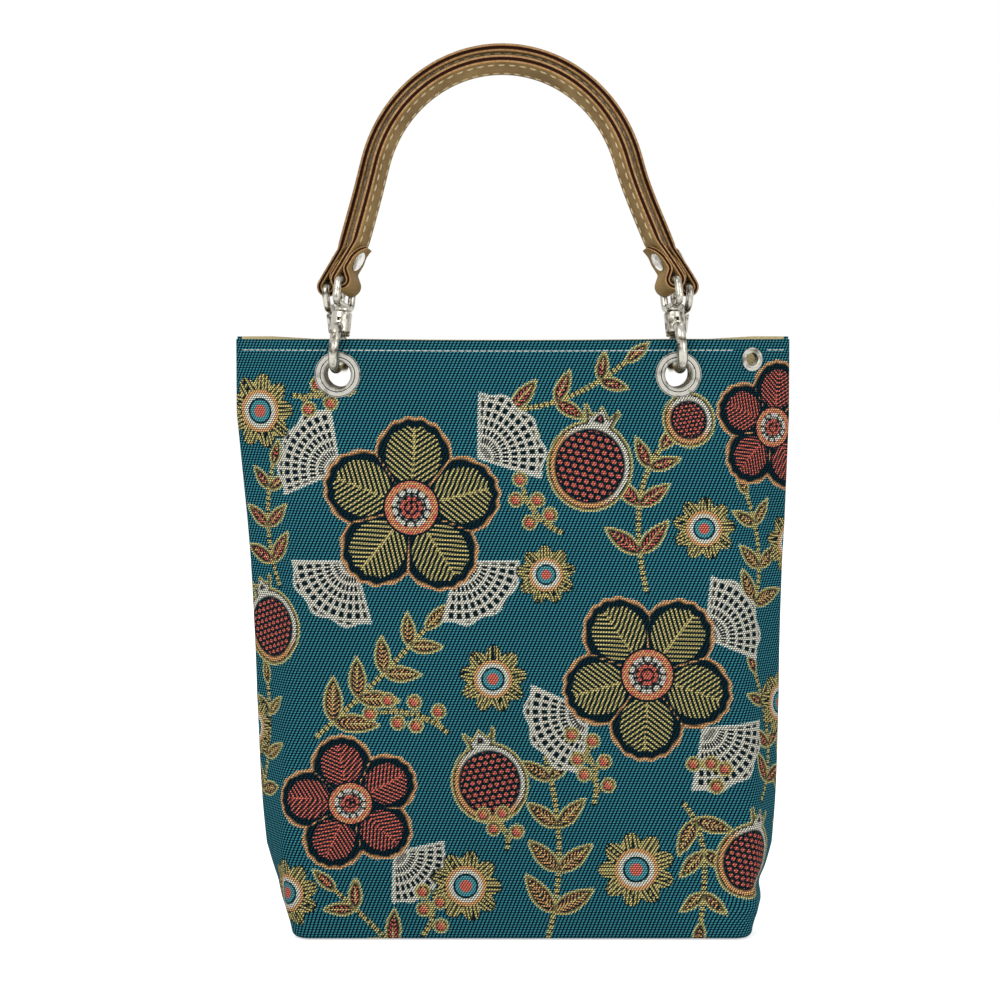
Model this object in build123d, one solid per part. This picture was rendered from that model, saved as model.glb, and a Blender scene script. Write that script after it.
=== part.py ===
from build123d import *
import math
import os

# Millimetres. +Z is up, the front faces -Y, the origin is under the middle of the base.

# Cloth body
body_height = 288.5
mouth_width = 268.0
mouth_depth = 32.0
mouth_side_run = 32.0
mouth_band_height = 36.0
mouth_fold_radius = 30.0
base_width = 222.0
base_depth = 48.0
base_fold_radius = 9.0
base_edge_roll = 2.5
shell_thickness = 1.3
lining_thickness = 0.7
board_thickness = 1.5
board_margin = 1.0

# Run of the sides from the base at 0 to the foot of the mouth band at 1
height_shares = (0.0, 0.17, 0.46, 0.72, 1.0)
taper_shares = (0.0, 0.08, 0.30, 0.62, 1.0)
spread_shares = (0.0, 0.45, 0.68, 0.80, 1.0)

# Roll of the bottom edge: height share and inset share
roll_shares = ((0.0, 1.0), (0.293, 0.293), (1.0, 0.0))

# Eyelets
handle_eyelet_margin = 20.5
handle_eyelet_drop = 16.8
handle_offset = -2.4
handle_hole_radius = 6.4
handle_flange_radius = 11.0
charm_seam_distance = 21.5
charm_eyelet_drop = 9.6
charm_hole_radius = 3.1
charm_flange_radius = 5.7
eyelet_barrel_wall = 0.4
eyelet_flange_height = 0.55
eyelet_collar_height = 0.9
eyelet_curl_height = 0.4
eyelet_washer_thickness = 0.4
eyelet_clearance = 0.1
eyelet_edge_round = 0.2
eyelet_mouth_round = 0.5
eyelet_collar_share = 0.3
eyelet_slope_share = 0.1
eyelet_curl_share = 0.25
eyelet_washer_share = 0.9

# Snap hooks, along the hook axis from the middle of the cloth strip that they hold
hook_inner_radius = 6.2
hook_bar_radius = 2.5
hook_shoulder_round = 5.0
hook_throat_height = 8.6
hook_nose_height = 2.0
hook_nose_slant = 30.0
hook_nose_gap = 0.3
barrel_radius = 4.9
barrel_length = 10.0
barrel_edge_round = 0.8
lug_length = 5.4
lug_width = 6.4
lug_overhang = 0.6
lug_edge_round = 0.8
slot_width = 3.4
slot_floor_gap = 0.25
gate_width = 2.8
gate_arm_thickness = 3.0
gate_root_radius = 1.7
gate_pivot_height = 11.0
gate_pivot_inset = 0.8
gate_tab_length = 1.9
gate_tab_thickness = 1.5
gate_pin_radius = 0.65
running_gap = 0.3
spring_leaf_thickness = 0.2
spring_leaf_width = 2.4
spring_leaf_margin = 0.4
swivel_stem_radius = 1.3
swivel_head_radius = 2.1
swivel_head_thickness = 1.6
swivel_cavity_floor = 4.2
swivel_roof_thickness = 2.4
swivel_window_width = 2.2
swivel_window_margin = 0.8

# Swivel rings
ring_collar_radius = 3.6
ring_collar_height = 1.7
ring_collar_round = 0.5
ring_bar_radius = 1.8
ring_rise = 3.0
ring_opening_height = 11.2
ring_corner_radius = 3.0
ring_side_gap = 1.4

# Handle straps
strap_width = 15.0
strap_layer_thickness = 1.3
strap_splay = 14.0
strap_foot_splay = 30.0
strap_foot_length = 19.2
strap_foot_bend = 14.0
strap_flare = 16.0
strap_fold_gap = 0.6
strap_flap_gap = 0.1
strap_bend_radius = 3.0
strap_pinch_start = 1.6
strap_pinch_end = 5.7
strap_flap_length = 19.5
fold_round_share = 0.98
front_crown_rise = 103.8
back_crown_rise = 110.3
rivet_height = 11.9
rivet_post_radius = 1.5
rivet_cap_radius = 4.8
rivet_cap_height = 1.2
rivet_rim_height = 0.4
rivet_clearance = 0.1

# Stance of the handles and hooks, in degrees
handle_lean = 3.0
hook_lean = 12.0
hook_tilt = 6.5
hook_yaw = 8.0
quarter_turn = 90.0

overrun = 5.0

LEFT = -1
RIGHT = 1
FRONT = -1
BACK = 1

# Derived sizes
mouth_face_width = mouth_width - mouth_side_run * 2
handle_eyelet_spacing = mouth_face_width - handle_eyelet_margin * 2
wall_thickness = shell_thickness + lining_thickness
wall_middle = mouth_depth / 2 - wall_thickness / 2
strip_height = handle_eyelet_drop - handle_hole_radius
pivot_height = body_height - strip_height / 2
hook_radius = hook_inner_radius + hook_bar_radius
barrel_top = hook_throat_height + barrel_length
collar_base = barrel_top + running_gap
ring_base = collar_base + ring_rise
ring_bar_height = ring_base + ring_opening_height
strap_fold_radius = ring_bar_radius + strap_fold_gap + strap_layer_thickness
strap_span = strap_width * math.cos(math.radians(strap_flare))
strap_crown_drop = strap_width * math.sin(math.radians(strap_flare))
lining_floor = shell_thickness + board_thickness


def share_at(height, shares):
    """Read a run of shares at a height above the base."""
    reach = height / (body_height - mouth_band_height)
    if reach >= height_shares[-1]:
        return shares[-1]
    for low, high, a, b in zip(height_shares, height_shares[1:], shares, shares[1:]):
        if reach <= high:
            return a + (b - a) * (reach - low) / (high - low)
    return shares[-1]


def half_section(height, inset):
    """Front half of the bag's outline at a height, moved inward by the inset."""
    taper = share_at(height, taper_shares)
    spread = share_at(height, spread_shares)
    depth = (base_depth + (mouth_depth - base_depth) * taper) / 2
    face = (base_width + (mouth_face_width - base_width) * taper) / 2
    seam = (base_width + (mouth_width - base_width) * spread) / 2
    fold = base_fold_radius + (mouth_fold_radius - base_fold_radius) * taper
    side = math.hypot(seam - face, depth)
    inward_x = -depth / side
    inward_y = (seam - face) / side
    at_seam = inset * inward_y / depth
    at_face = (depth - inset + inset * inward_y) / depth
    seam_x = seam + inset * inward_x + at_seam * (face - seam)
    face_x = seam + inset * inward_x + at_face * (face - seam)
    face_y = -(depth - inset)
    corners = [(-seam_x, 0), (-face_x, face_y), (face_x, face_y), (seam_x, 0)]
    outline = FilletPolyline(*corners, radius=fold - inset)
    closing = Line(outline @ 1, outline @ 0)
    return Plane.XY.offset(height) * make_face([*outline.edges(), closing])


def half_body(inset, floor, top):
    """Front half of the bag as a solid block between two heights."""
    stations = [share * (body_height - mouth_band_height) for share in height_shares]
    heights = [floor, *(h for h in stations if h > floor), top]
    return loft([half_section(height, inset) for height in heights], ruled=True)


def rolled_half_body():
    """Outer block of the front half, with its bottom edge rolled."""
    sections = [half_section(h * base_edge_roll, i * base_edge_roll) for h, i in roll_shares]
    stations = [share * (body_height - mouth_band_height) for share in height_shares]
    heights = [*(h for h in stations if h > base_edge_roll), body_height]
    sections += [half_section(height, 0) for height in heights]
    return loft(sections, ruled=True)


def eyelet_profile(hole_radius, flange_radius):
    """Half profile of an eyelet; zero height is the outer face of the cloth."""
    barrel = hole_radius + eyelet_barrel_wall
    collar = barrel + eyelet_collar_share * (flange_radius - barrel)
    slope = collar + eyelet_slope_share * (flange_radius - barrel)
    curl = barrel + eyelet_curl_share * (flange_radius - barrel)
    seat = -(wall_thickness + eyelet_washer_thickness)
    end = seat - eyelet_curl_height
    edge = eyelet_edge_round
    points = [
        (hole_radius, end),
        (hole_radius, eyelet_collar_height),
        (collar, eyelet_collar_height),
        (slope, eyelet_flange_height),
        (flange_radius, eyelet_flange_height),
        (flange_radius, 0),
        (barrel, 0),
        (barrel, seat),
        (curl, seat),
        (curl, end),
    ]
    rounds = [edge, eyelet_mouth_round, edge, edge, edge, 0, 0, 0, 0, edge]
    return make_face(FilletPolyline(*points, radius=rounds, close=True))


def eyelet(hole_radius, flange_radius):
    return revolve(Plane.XZ * eyelet_profile(hole_radius, flange_radius), axis=Axis.Z)


def washer(hole_radius, flange_radius):
    inner = hole_radius + eyelet_barrel_wall + eyelet_clearance
    outer = eyelet_washer_share * flange_radius
    ring = Circle(outer) - Circle(inner)
    return Pos(0, 0, -wall_thickness) * extrude(ring, amount=-eyelet_washer_thickness)


def eyelet_hole(hole_radius):
    radius = hole_radius + eyelet_barrel_wall + eyelet_clearance
    return Cylinder(radius, wall_thickness * 2 + overrun)


def handle_eyelet_place(side, face):
    """Outer face of the cloth at a handle eyelet, +Z outward."""
    x = handle_offset + side * handle_eyelet_spacing / 2
    spot = Pos(x, face * mouth_depth / 2, body_height - handle_eyelet_drop)
    return spot * Rot(-face * quarter_turn, 0, 0)


def charm_eyelet_place():
    """Outer face of the cloth at the small eyelet, +Z outward."""
    run_y = mouth_depth / 2
    side = math.hypot(mouth_side_run, run_y)
    turn = math.degrees(math.atan2(run_y, mouth_side_run))
    x = mouth_width / 2 - charm_seam_distance * mouth_side_run / side
    y = -charm_seam_distance * run_y / side
    spot = Pos(x, y, body_height - charm_eyelet_drop)
    return spot * Rot(0, 0, turn) * Rot(quarter_turn, 0, 0)


def stance(side, face, yaw):
    """Hook axis at one eyelet: leaning inward, tilted sideways, turned about itself."""
    spot = Pos(handle_offset + side * handle_eyelet_spacing / 2, face * wall_middle, pivot_height)
    return spot * Rot(face * hook_lean, 0, 0) * Rot(0, side * face * hook_tilt, 0) * Rot(0, 0, yaw)


def hook_place(side, face):
    return stance(side, face, face * quarter_turn - side * face * hook_yaw)


def ring_place(side, face):
    return stance(side, face, side * strap_flare)


def handle_place(face):
    """Middle plane of a strap, through the bars of its leaning rings."""
    lean = math.radians(face * (hook_lean - handle_lean))
    depth = -ring_bar_height * math.cos(math.radians(hook_tilt)) * math.sin(lean)
    spot = Pos(handle_offset, face * wall_middle, pivot_height)
    return spot * Rot(face * handle_lean, 0, 0) * Pos(0, depth, 0)


pivot_x = -(hook_radius - gate_pivot_inset)
slot_floor = pivot_x + gate_root_radius + running_gap + spring_leaf_thickness + slot_floor_gap
cavity_floor = hook_throat_height + swivel_cavity_floor
cavity_roof = barrel_top - swivel_roof_thickness


def nose_space(shift, way):
    """Space above (way 1) or below (way -1) the slanted end of the hook's nose."""
    slant = math.radians(hook_nose_slant)
    normal = Vector(math.sin(slant), 0, math.cos(slant))
    size = hook_bar_radius * 4
    spot = Vector(-hook_radius, 0, hook_nose_height) + normal * shift
    return Plane(spot, z_dir=normal) * Pos(0, 0, way * size / 2) * Box(size, size, size)


def hook_bar():
    """Round bar from the barrel down the outer leg, round the bend and up to the nose."""
    shoulder = hook_throat_height + hook_bar_radius
    elbow = (hook_radius, shoulder - hook_bar_radius / 2)
    leg = FilletPolyline((0, shoulder), elbow, (hook_radius, 0), radius=hook_shoulder_round)
    bend = CenterArc((0, 0), hook_radius, 0, -quarter_turn * 2)
    rise = Line((-hook_radius, 0), (-hook_radius, hook_nose_height + hook_bar_radius))
    path = Plane.XZ * Wire([*leg.edges(), *bend.edges(), *rise.edges()])
    section = Plane(path @ 0, z_dir=path % 0) * Circle(hook_bar_radius)
    return sweep(section, path=path) - nose_space(0, 1)


def upright(radius, low, high):
    """Cylinder on the hook axis between two heights."""
    return Pos(0, 0, (low + high) / 2) * Cylinder(radius, high - low)


def crosswise(radius, length):
    """Cylinder along the gate pivot."""
    spot = Pos(pivot_x, 0, gate_pivot_height)
    return spot * Rot(quarter_turn, 0, 0) * Cylinder(radius, length)


def hook_body():
    barrel = upright(barrel_radius, hook_throat_height, barrel_top)
    barrel = fillet(barrel.edges().filter_by(GeomType.CIRCLE), radius=barrel_edge_round)
    lug_reach = hook_radius + lug_overhang
    lug_middle = hook_throat_height + lug_length / 2
    lug = Pos(-lug_reach / 2, 0, lug_middle) * Box(lug_reach, lug_width, lug_length)
    lug = fillet(lug.edges(), radius=lug_edge_round)
    slot_reach = lug_reach + slot_floor + overrun
    slot_x = slot_floor - slot_reach / 2
    slot_low = hook_throat_height - overrun
    slot_high = hook_throat_height + lug_length
    slot = Pos(slot_x, 0, (slot_low + slot_high) / 2) * Box(slot_reach, slot_width, slot_high - slot_low)
    body = barrel + lug - slot + hook_bar()
    body -= crosswise(gate_pin_radius, lug_width + overrun)
    body -= upright(swivel_head_radius + running_gap, cavity_floor, cavity_roof)
    body -= upright(swivel_stem_radius + running_gap, cavity_roof - overrun / 2, barrel_top + overrun)
    window_height = cavity_roof - cavity_floor - swivel_window_margin * 2
    window_reach = barrel_radius + overrun
    window_middle = (cavity_floor + cavity_roof) / 2
    window = Box(window_reach, swivel_window_width, window_height)
    return body - Pos(window_reach / 2, 0, window_middle) * window


def gate():
    arm_low = hook_nose_height - gate_arm_thickness
    arm_length = gate_pivot_height - arm_low
    arm = Pos(-hook_radius, (arm_low + gate_pivot_height) / 2) * Rectangle(gate_arm_thickness, arm_length)
    root = Pos(pivot_x, gate_pivot_height) * Circle(gate_root_radius)
    tab_end = -(hook_radius + gate_tab_length)
    tab_height = gate_pivot_height + gate_root_radius - gate_tab_thickness / 2
    tab = Pos((tab_end + pivot_x) / 2, tab_height) * Rectangle(pivot_x - tab_end, gate_tab_thickness)
    plate = extrude(Plane.XZ * (arm + root + tab), amount=gate_width / 2, both=True)
    plate -= nose_space(hook_nose_gap, -1)
    return plate - crosswise(gate_pin_radius + running_gap, gate_width + overrun)


def gate_spring():
    length = lug_length - spring_leaf_margin * 2
    spot = Pos(slot_floor - spring_leaf_thickness / 2, 0, hook_throat_height + lug_length / 2)
    return spot * Box(spring_leaf_thickness, spring_leaf_width, length)


def swivel_ring():
    head_top = cavity_roof - running_gap
    head_low = head_top - swivel_head_thickness
    collar = upright(ring_collar_radius, collar_base, collar_base + ring_collar_height)
    collar = fillet(collar.edges().filter_by(GeomType.CIRCLE), radius=ring_collar_round)
    stem = upright(swivel_stem_radius, head_low, collar_base + ring_collar_height / 2)
    head = upright(swivel_head_radius, head_low, head_top)
    width = strap_width + (ring_side_gap + ring_bar_radius) * 2
    middle = ring_base + ring_opening_height / 2
    outline = Pos(0, middle) * RectangleRounded(width, ring_opening_height, ring_corner_radius)
    path = Plane.YZ * outline.wire()
    section = Plane(path @ 0, z_dir=path % 0) * Circle(ring_bar_radius)
    return collar + stem + head + sweep(section, path=path)


def bar_at(side, face, y):
    """Where the ring's top bar crosses a plane across the handle, from the pivot line."""
    yaw = Rot(0, 0, side * strap_flare)
    tilt = Rot(0, side * face * hook_tilt, 0)
    lean = Rot(face * (hook_lean - handle_lean), 0, 0)
    middle = (lean * tilt * Pos(0, 0, ring_bar_height)).position
    run = (lean * tilt * yaw * Pos(0, 1, 0)).position
    middle_x = side * handle_eyelet_spacing / 2 + middle.X
    return middle_x + run.X / run.Y * y, middle.Z + run.Z / run.Y * y


def strap_points(bar, inset):
    """Corners of the left strap end, moved toward the fold by the inset, and where its legs meet."""
    foot = math.radians(strap_foot_splay)
    splay = math.radians(strap_splay)
    along = Vector(math.sin(foot), math.cos(foot))
    inward = Vector(math.cos(foot), -math.sin(foot))
    leg = Vector(math.sin(splay), math.cos(splay))
    fold = strap_fold_radius - inset
    flap = strap_layer_thickness * 2 + strap_flap_gap - strap_fold_radius
    pinch = math.atan2(strap_fold_radius - flap, strap_pinch_end - strap_pinch_start)
    shift = inset * math.tan(pinch / 2)
    local = [
        (flap - inset, strap_flap_length),
        (flap - inset, strap_pinch_end - shift),
        (fold, strap_pinch_start - shift),
        (fold, -strap_fold_radius + inset),
        (-fold, -strap_fold_radius + inset),
        (-fold, strap_foot_length + inset * math.tan((foot - splay) / 2)),
    ]
    points = [Vector(*bar) + inward * across + along * up for across, up in local]
    apex = points[-1] + leg * (-points[-1].X / leg.X)
    return points, apex


def strap_line(bar, crown, inset):
    """Whole strap line at one edge: flap, fold, leg, arch, leg, fold and flap."""
    points, apex = strap_points(bar, inset)
    middle_apex = strap_points(bar, 0)[1]
    arch = (middle_apex.Y - crown) / (1 / math.sin(math.radians(strap_splay)) - 1) - inset
    turn = strap_fold_radius * fold_round_share - inset
    rounds = [strap_bend_radius + inset, strap_bend_radius - inset, turn, turn, strap_foot_bend + inset]
    mirrored = [Vector(-p.X, p.Y) for p in reversed(points)]
    return FilletPolyline(*points, apex, *mirrored, radius=[*rounds, arch, *reversed(rounds)])


def strap_layer(face, crown_rise, low, high):
    """One leather layer of a strap, between two insets from the glued middle."""
    sections = []
    for edge in (FRONT, BACK):
        y = edge * strap_span / 2
        bar = bar_at(LEFT, face, y)
        crown = ring_bar_height + crown_rise - edge * strap_crown_drop / 2
        lines = [strap_line(bar, crown, inset) for inset in (low, high)]
        ends = [Line(lines[0] @ end, lines[1] @ end) for end in (0, 1)]
        edges = [e for part in (*lines, *ends) for e in part.edges()]
        sections.append(Plane.XZ.offset(-y) * make_face(edges))
    return loft(sections, ruled=True)


def rivet_plane(side, face):
    """Middle of the riveted stack on one strap end, +Z toward the inside of the arch."""
    foot = math.radians(strap_foot_splay)
    along = Vector(-side * math.sin(foot), 0, math.cos(foot))
    inward = Vector(-side * math.cos(foot), 0, -math.sin(foot))
    front_x, front_z = bar_at(side, face, -strap_span / 2)
    back_x, back_z = bar_at(side, face, strap_span / 2)
    width = Vector(back_x - front_x, strap_span, back_z - front_z)
    middle = Vector((front_x + back_x) / 2, 0, (front_z + back_z) / 2)
    stack_middle = strap_layer_thickness + strap_flap_gap / 2 - strap_fold_radius
    spot = middle + inward * stack_middle + along * rivet_height
    normal = along.cross(width).normalized()
    if normal.dot(inward) < 0:
        normal = -normal
    return Plane(spot, x_dir=along, z_dir=normal)


stack_half = strap_layer_thickness * 2 + strap_flap_gap / 2


def rivet_cap():
    """Domed cap on the inside face of the stack, at +Z."""
    rim = (rivet_cap_radius, stack_half + rivet_rim_height)
    top = (0, stack_half + rivet_cap_height)
    dome_height = rivet_cap_height - rivet_rim_height
    dome_radius = (rivet_cap_radius**2 + dome_height**2) / (dome_height * 2)
    half_sweep = math.asin(rivet_cap_radius / dome_radius) / 2
    middle = (dome_radius * math.sin(half_sweep), top[1] - dome_radius * (1 - math.cos(half_sweep)))
    dome = ThreePointArc(rim, middle, top)
    edges = [
        Line((0, stack_half), (rivet_cap_radius, stack_half)),
        Line((rivet_cap_radius, stack_half), rim),
        dome,
        Line(top, (0, stack_half)),
    ]
    return revolve(Plane.XZ * make_face([e for part in edges for e in part.edges()]), axis=Axis.Z)


def rivet_post():
    """Post with its own head on the outside face of the stack."""
    return Rot(quarter_turn * 2, 0, 0) * rivet_cap() + Cylinder(rivet_post_radius, stack_half * 2)


def rivet_hole():
    return Cylinder(rivet_post_radius + rivet_clearance, stack_half * 2 + rivet_cap_height)


def build():
    """Every piece by node name."""
    pieces = {}
    outer = rolled_half_body()
    middle = half_body(shell_thickness, shell_thickness, body_height + overrun)
    lining_height = body_height - lining_floor
    slab = Pos(0, 0, lining_floor + lining_height / 2) * Box(mouth_width, base_depth, lining_height)
    lining_block = middle & slab
    inner = half_body(wall_thickness, lining_floor + lining_thickness, body_height + overrun)
    shell = outer - middle
    lining = lining_block - inner
    big = (handle_hole_radius, handle_flange_radius)
    small = (charm_hole_radius, charm_flange_radius)
    for side in (LEFT, RIGHT):
        hole = handle_eyelet_place(side, FRONT) * eyelet_hole(handle_hole_radius)
        shell -= hole
        lining -= hole
    charm_hole = charm_eyelet_place() * eyelet_hole(charm_hole_radius)
    pieces["front_panel"] = shell - charm_hole
    pieces["back_panel"] = mirror(shell, about=Plane.XZ)
    pieces["front_lining"] = lining - charm_hole
    pieces["back_lining"] = mirror(lining, about=Plane.XZ)
    margin = shell_thickness + board_margin
    plate = RectangleRounded(base_width - margin * 2, base_depth - margin * 2, base_fold_radius - board_margin)
    pieces["base_board"] = Pos(0, 0, shell_thickness) * extrude(plate, amount=board_thickness)
    pieces["charm_eyelet"] = charm_eyelet_place() * eyelet(*small)
    pieces["charm_eyelet_washer"] = charm_eyelet_place() * washer(*small)
    for face, face_name, rise in ((FRONT, "front", front_crown_rise), (BACK, "back", back_crown_rise)):
        layers = {
            "strap_outer": strap_layer(face, rise, -strap_layer_thickness, 0),
            "strap_inner": strap_layer(face, rise, 0, strap_layer_thickness),
        }
        for side, side_name in ((LEFT, "left"), (RIGHT, "right")):
            name = face_name + "_" + side_name
            rivet = rivet_plane(side, face)
            layers = {key: layer - rivet * rivet_hole() for key, layer in layers.items()}
            pieces[name + "_eyelet"] = handle_eyelet_place(side, face) * eyelet(*big)
            pieces[name + "_eyelet_washer"] = handle_eyelet_place(side, face) * washer(*big)
            pieces[name + "_rivet_post"] = handle_place(face) * (rivet * rivet_post())
            pieces[name + "_rivet_cap"] = handle_place(face) * (rivet * rivet_cap())
            pieces[name + "_ring"] = ring_place(side, face) * swivel_ring()
            hook_parts = {
                "hook": hook_body(),
                "gate": gate(),
                "gate_pin": crosswise(gate_pin_radius, lug_width),
                "gate_spring": gate_spring(),
            }
            for part_name, solid in hook_parts.items():
                pieces[name + "_" + part_name] = hook_place(side, face) * solid
        for key, layer in layers.items():
            pieces[face_name + "_" + key] = handle_place(face) * layer
    return pieces


def main():
    os.makedirs("parts", exist_ok=True)
    for name, solid in build().items():
        export_step(solid, f"parts/{name}.step")


if __name__ == "__main__":
    main()
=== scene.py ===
"""Clutch bag in woven cloth with two clip-on leather handles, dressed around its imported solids."""

import logging
import math
from collections.abc import Callable, Iterable, Mapping, Sequence
from dataclasses import dataclass
from enum import Enum

import bmesh
import bpy
import numpy as np
from mathutils import Matrix, Vector


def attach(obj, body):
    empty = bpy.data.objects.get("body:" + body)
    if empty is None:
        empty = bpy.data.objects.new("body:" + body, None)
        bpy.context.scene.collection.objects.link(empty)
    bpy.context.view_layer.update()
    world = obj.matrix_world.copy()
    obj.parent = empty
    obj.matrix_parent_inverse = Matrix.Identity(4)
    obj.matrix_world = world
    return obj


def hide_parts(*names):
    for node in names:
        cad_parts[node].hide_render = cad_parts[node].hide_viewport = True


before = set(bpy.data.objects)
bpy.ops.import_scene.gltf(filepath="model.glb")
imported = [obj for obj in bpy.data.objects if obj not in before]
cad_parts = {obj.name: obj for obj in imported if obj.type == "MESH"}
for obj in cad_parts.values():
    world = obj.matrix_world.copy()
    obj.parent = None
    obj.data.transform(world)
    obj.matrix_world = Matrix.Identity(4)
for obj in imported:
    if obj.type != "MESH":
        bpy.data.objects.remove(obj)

LOG = logging.getLogger("bag")
MM = 0.001

Colour = tuple[float, float, float, float]
Point2 = tuple[float, float]
Fields = tuple[np.ndarray, np.ndarray, np.ndarray]
# Where a step starts and ends.
Limits = tuple[float, float]
# Strength of a bump and its height in metres.
Relief = tuple[float, float]


class Side(Enum):
    """Left or right along X, as seen from the front."""

    LEFT = -1
    RIGHT = 1


class Face(Enum):
    """Front or back along Y."""

    FRONT = -1
    BACK = 1


class Kind(Enum):
    """Kinds of woven motif, from the lowest to the topmost in the cloth."""

    STEM = "stem"
    LEAF = "leaf"
    FAN = "fan"
    FRUIT = "fruit"
    DAISY = "daisy"
    BLOSSOM = "blossom"
    BERRY = "berry"


def tone(red: int, green: int, blue: int) -> Colour:
    """Give a screen colour as the linear colour that a shader takes.

    Args:
        red: Red from 0 to 255.
        green: Green from 0 to 255.
        blue: Blue from 0 to 255.

    Returns:
        Linear red, green, blue and a full alpha.
    """

    def linear(level: int) -> float:
        """Undo the screen curve of one channel."""
        share = level / 255
        return share / 12.92 if share <= 0.04045 else ((share + 0.055) / 1.055) ** 2.4

    return (linear(red), linear(green), linear(blue), 1.0)


# Shader sheets


class Sock:
    """Output socket of a node, with arithmetic that adds Math nodes."""

    def __init__(self, sheet: "NodeSheet", socket: bpy.types.NodeSocket) -> None:
        """Keep the socket and the sheet that it is on."""
        self.sheet = sheet
        self.socket = socket

    def __add__(self, other: "Sock | float") -> "Sock":
        """Add."""
        return self.sheet.math("ADD", self, other)

    def __radd__(self, other: float) -> "Sock":
        """Add, from the right."""
        return self.sheet.math("ADD", other, self)

    def __sub__(self, other: "Sock | float") -> "Sock":
        """Subtract."""
        return self.sheet.math("SUBTRACT", self, other)

    def __rsub__(self, other: float) -> "Sock":
        """Subtract this from a number."""
        return self.sheet.math("SUBTRACT", other, self)

    def __mul__(self, other: "Sock | float") -> "Sock":
        """Multiply."""
        return self.sheet.math("MULTIPLY", self, other)

    def __rmul__(self, other: float) -> "Sock":
        """Multiply, from the right."""
        return self.sheet.math("MULTIPLY", other, self)

    def __truediv__(self, other: "Sock | float") -> "Sock":
        """Divide."""
        return self.sheet.math("DIVIDE", self, other)

    def __lt__(self, other: "Sock | float") -> "Sock":
        """One where this is the smaller, else nought."""
        return self.sheet.math("LESS_THAN", self, other)

    def __gt__(self, other: "Sock | float") -> "Sock":
        """One where this is the larger, else nought."""
        return self.sheet.math("GREATER_THAN", self, other)

    def __abs__(self) -> "Sock":
        """Drop the sign."""
        return self.sheet.math("ABSOLUTE", self)

    def fraction(self) -> "Sock":
        """Part after the decimal point."""
        return self.sheet.math("FRACT", self)

    def floor(self) -> "Sock":
        """Whole number below."""
        return self.sheet.math("FLOOR", self)

    def sine(self) -> "Sock":
        """Sine of radians."""
        return self.sheet.math("SINE", self)

    def root(self) -> "Sock":
        """Square root."""
        return self.sheet.math("SQRT", self)

    def least(self, other: "Sock | float") -> "Sock":
        """Smaller of two."""
        return self.sheet.math("MINIMUM", self, other)

    def most(self, other: "Sock | float") -> "Sock":
        """Larger of two."""
        return self.sheet.math("MAXIMUM", self, other)

    def ramp(self, low: float, high: float) -> "Sock":
        """Rise smoothly from nought at low to one at high."""
        return self.sheet.ramp(self, low, high)

    def fall(self, low: float, high: float) -> "Sock":
        """Fall smoothly from one at low to nought at high."""
        return 1 - self.sheet.ramp(self, low, high)


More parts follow.
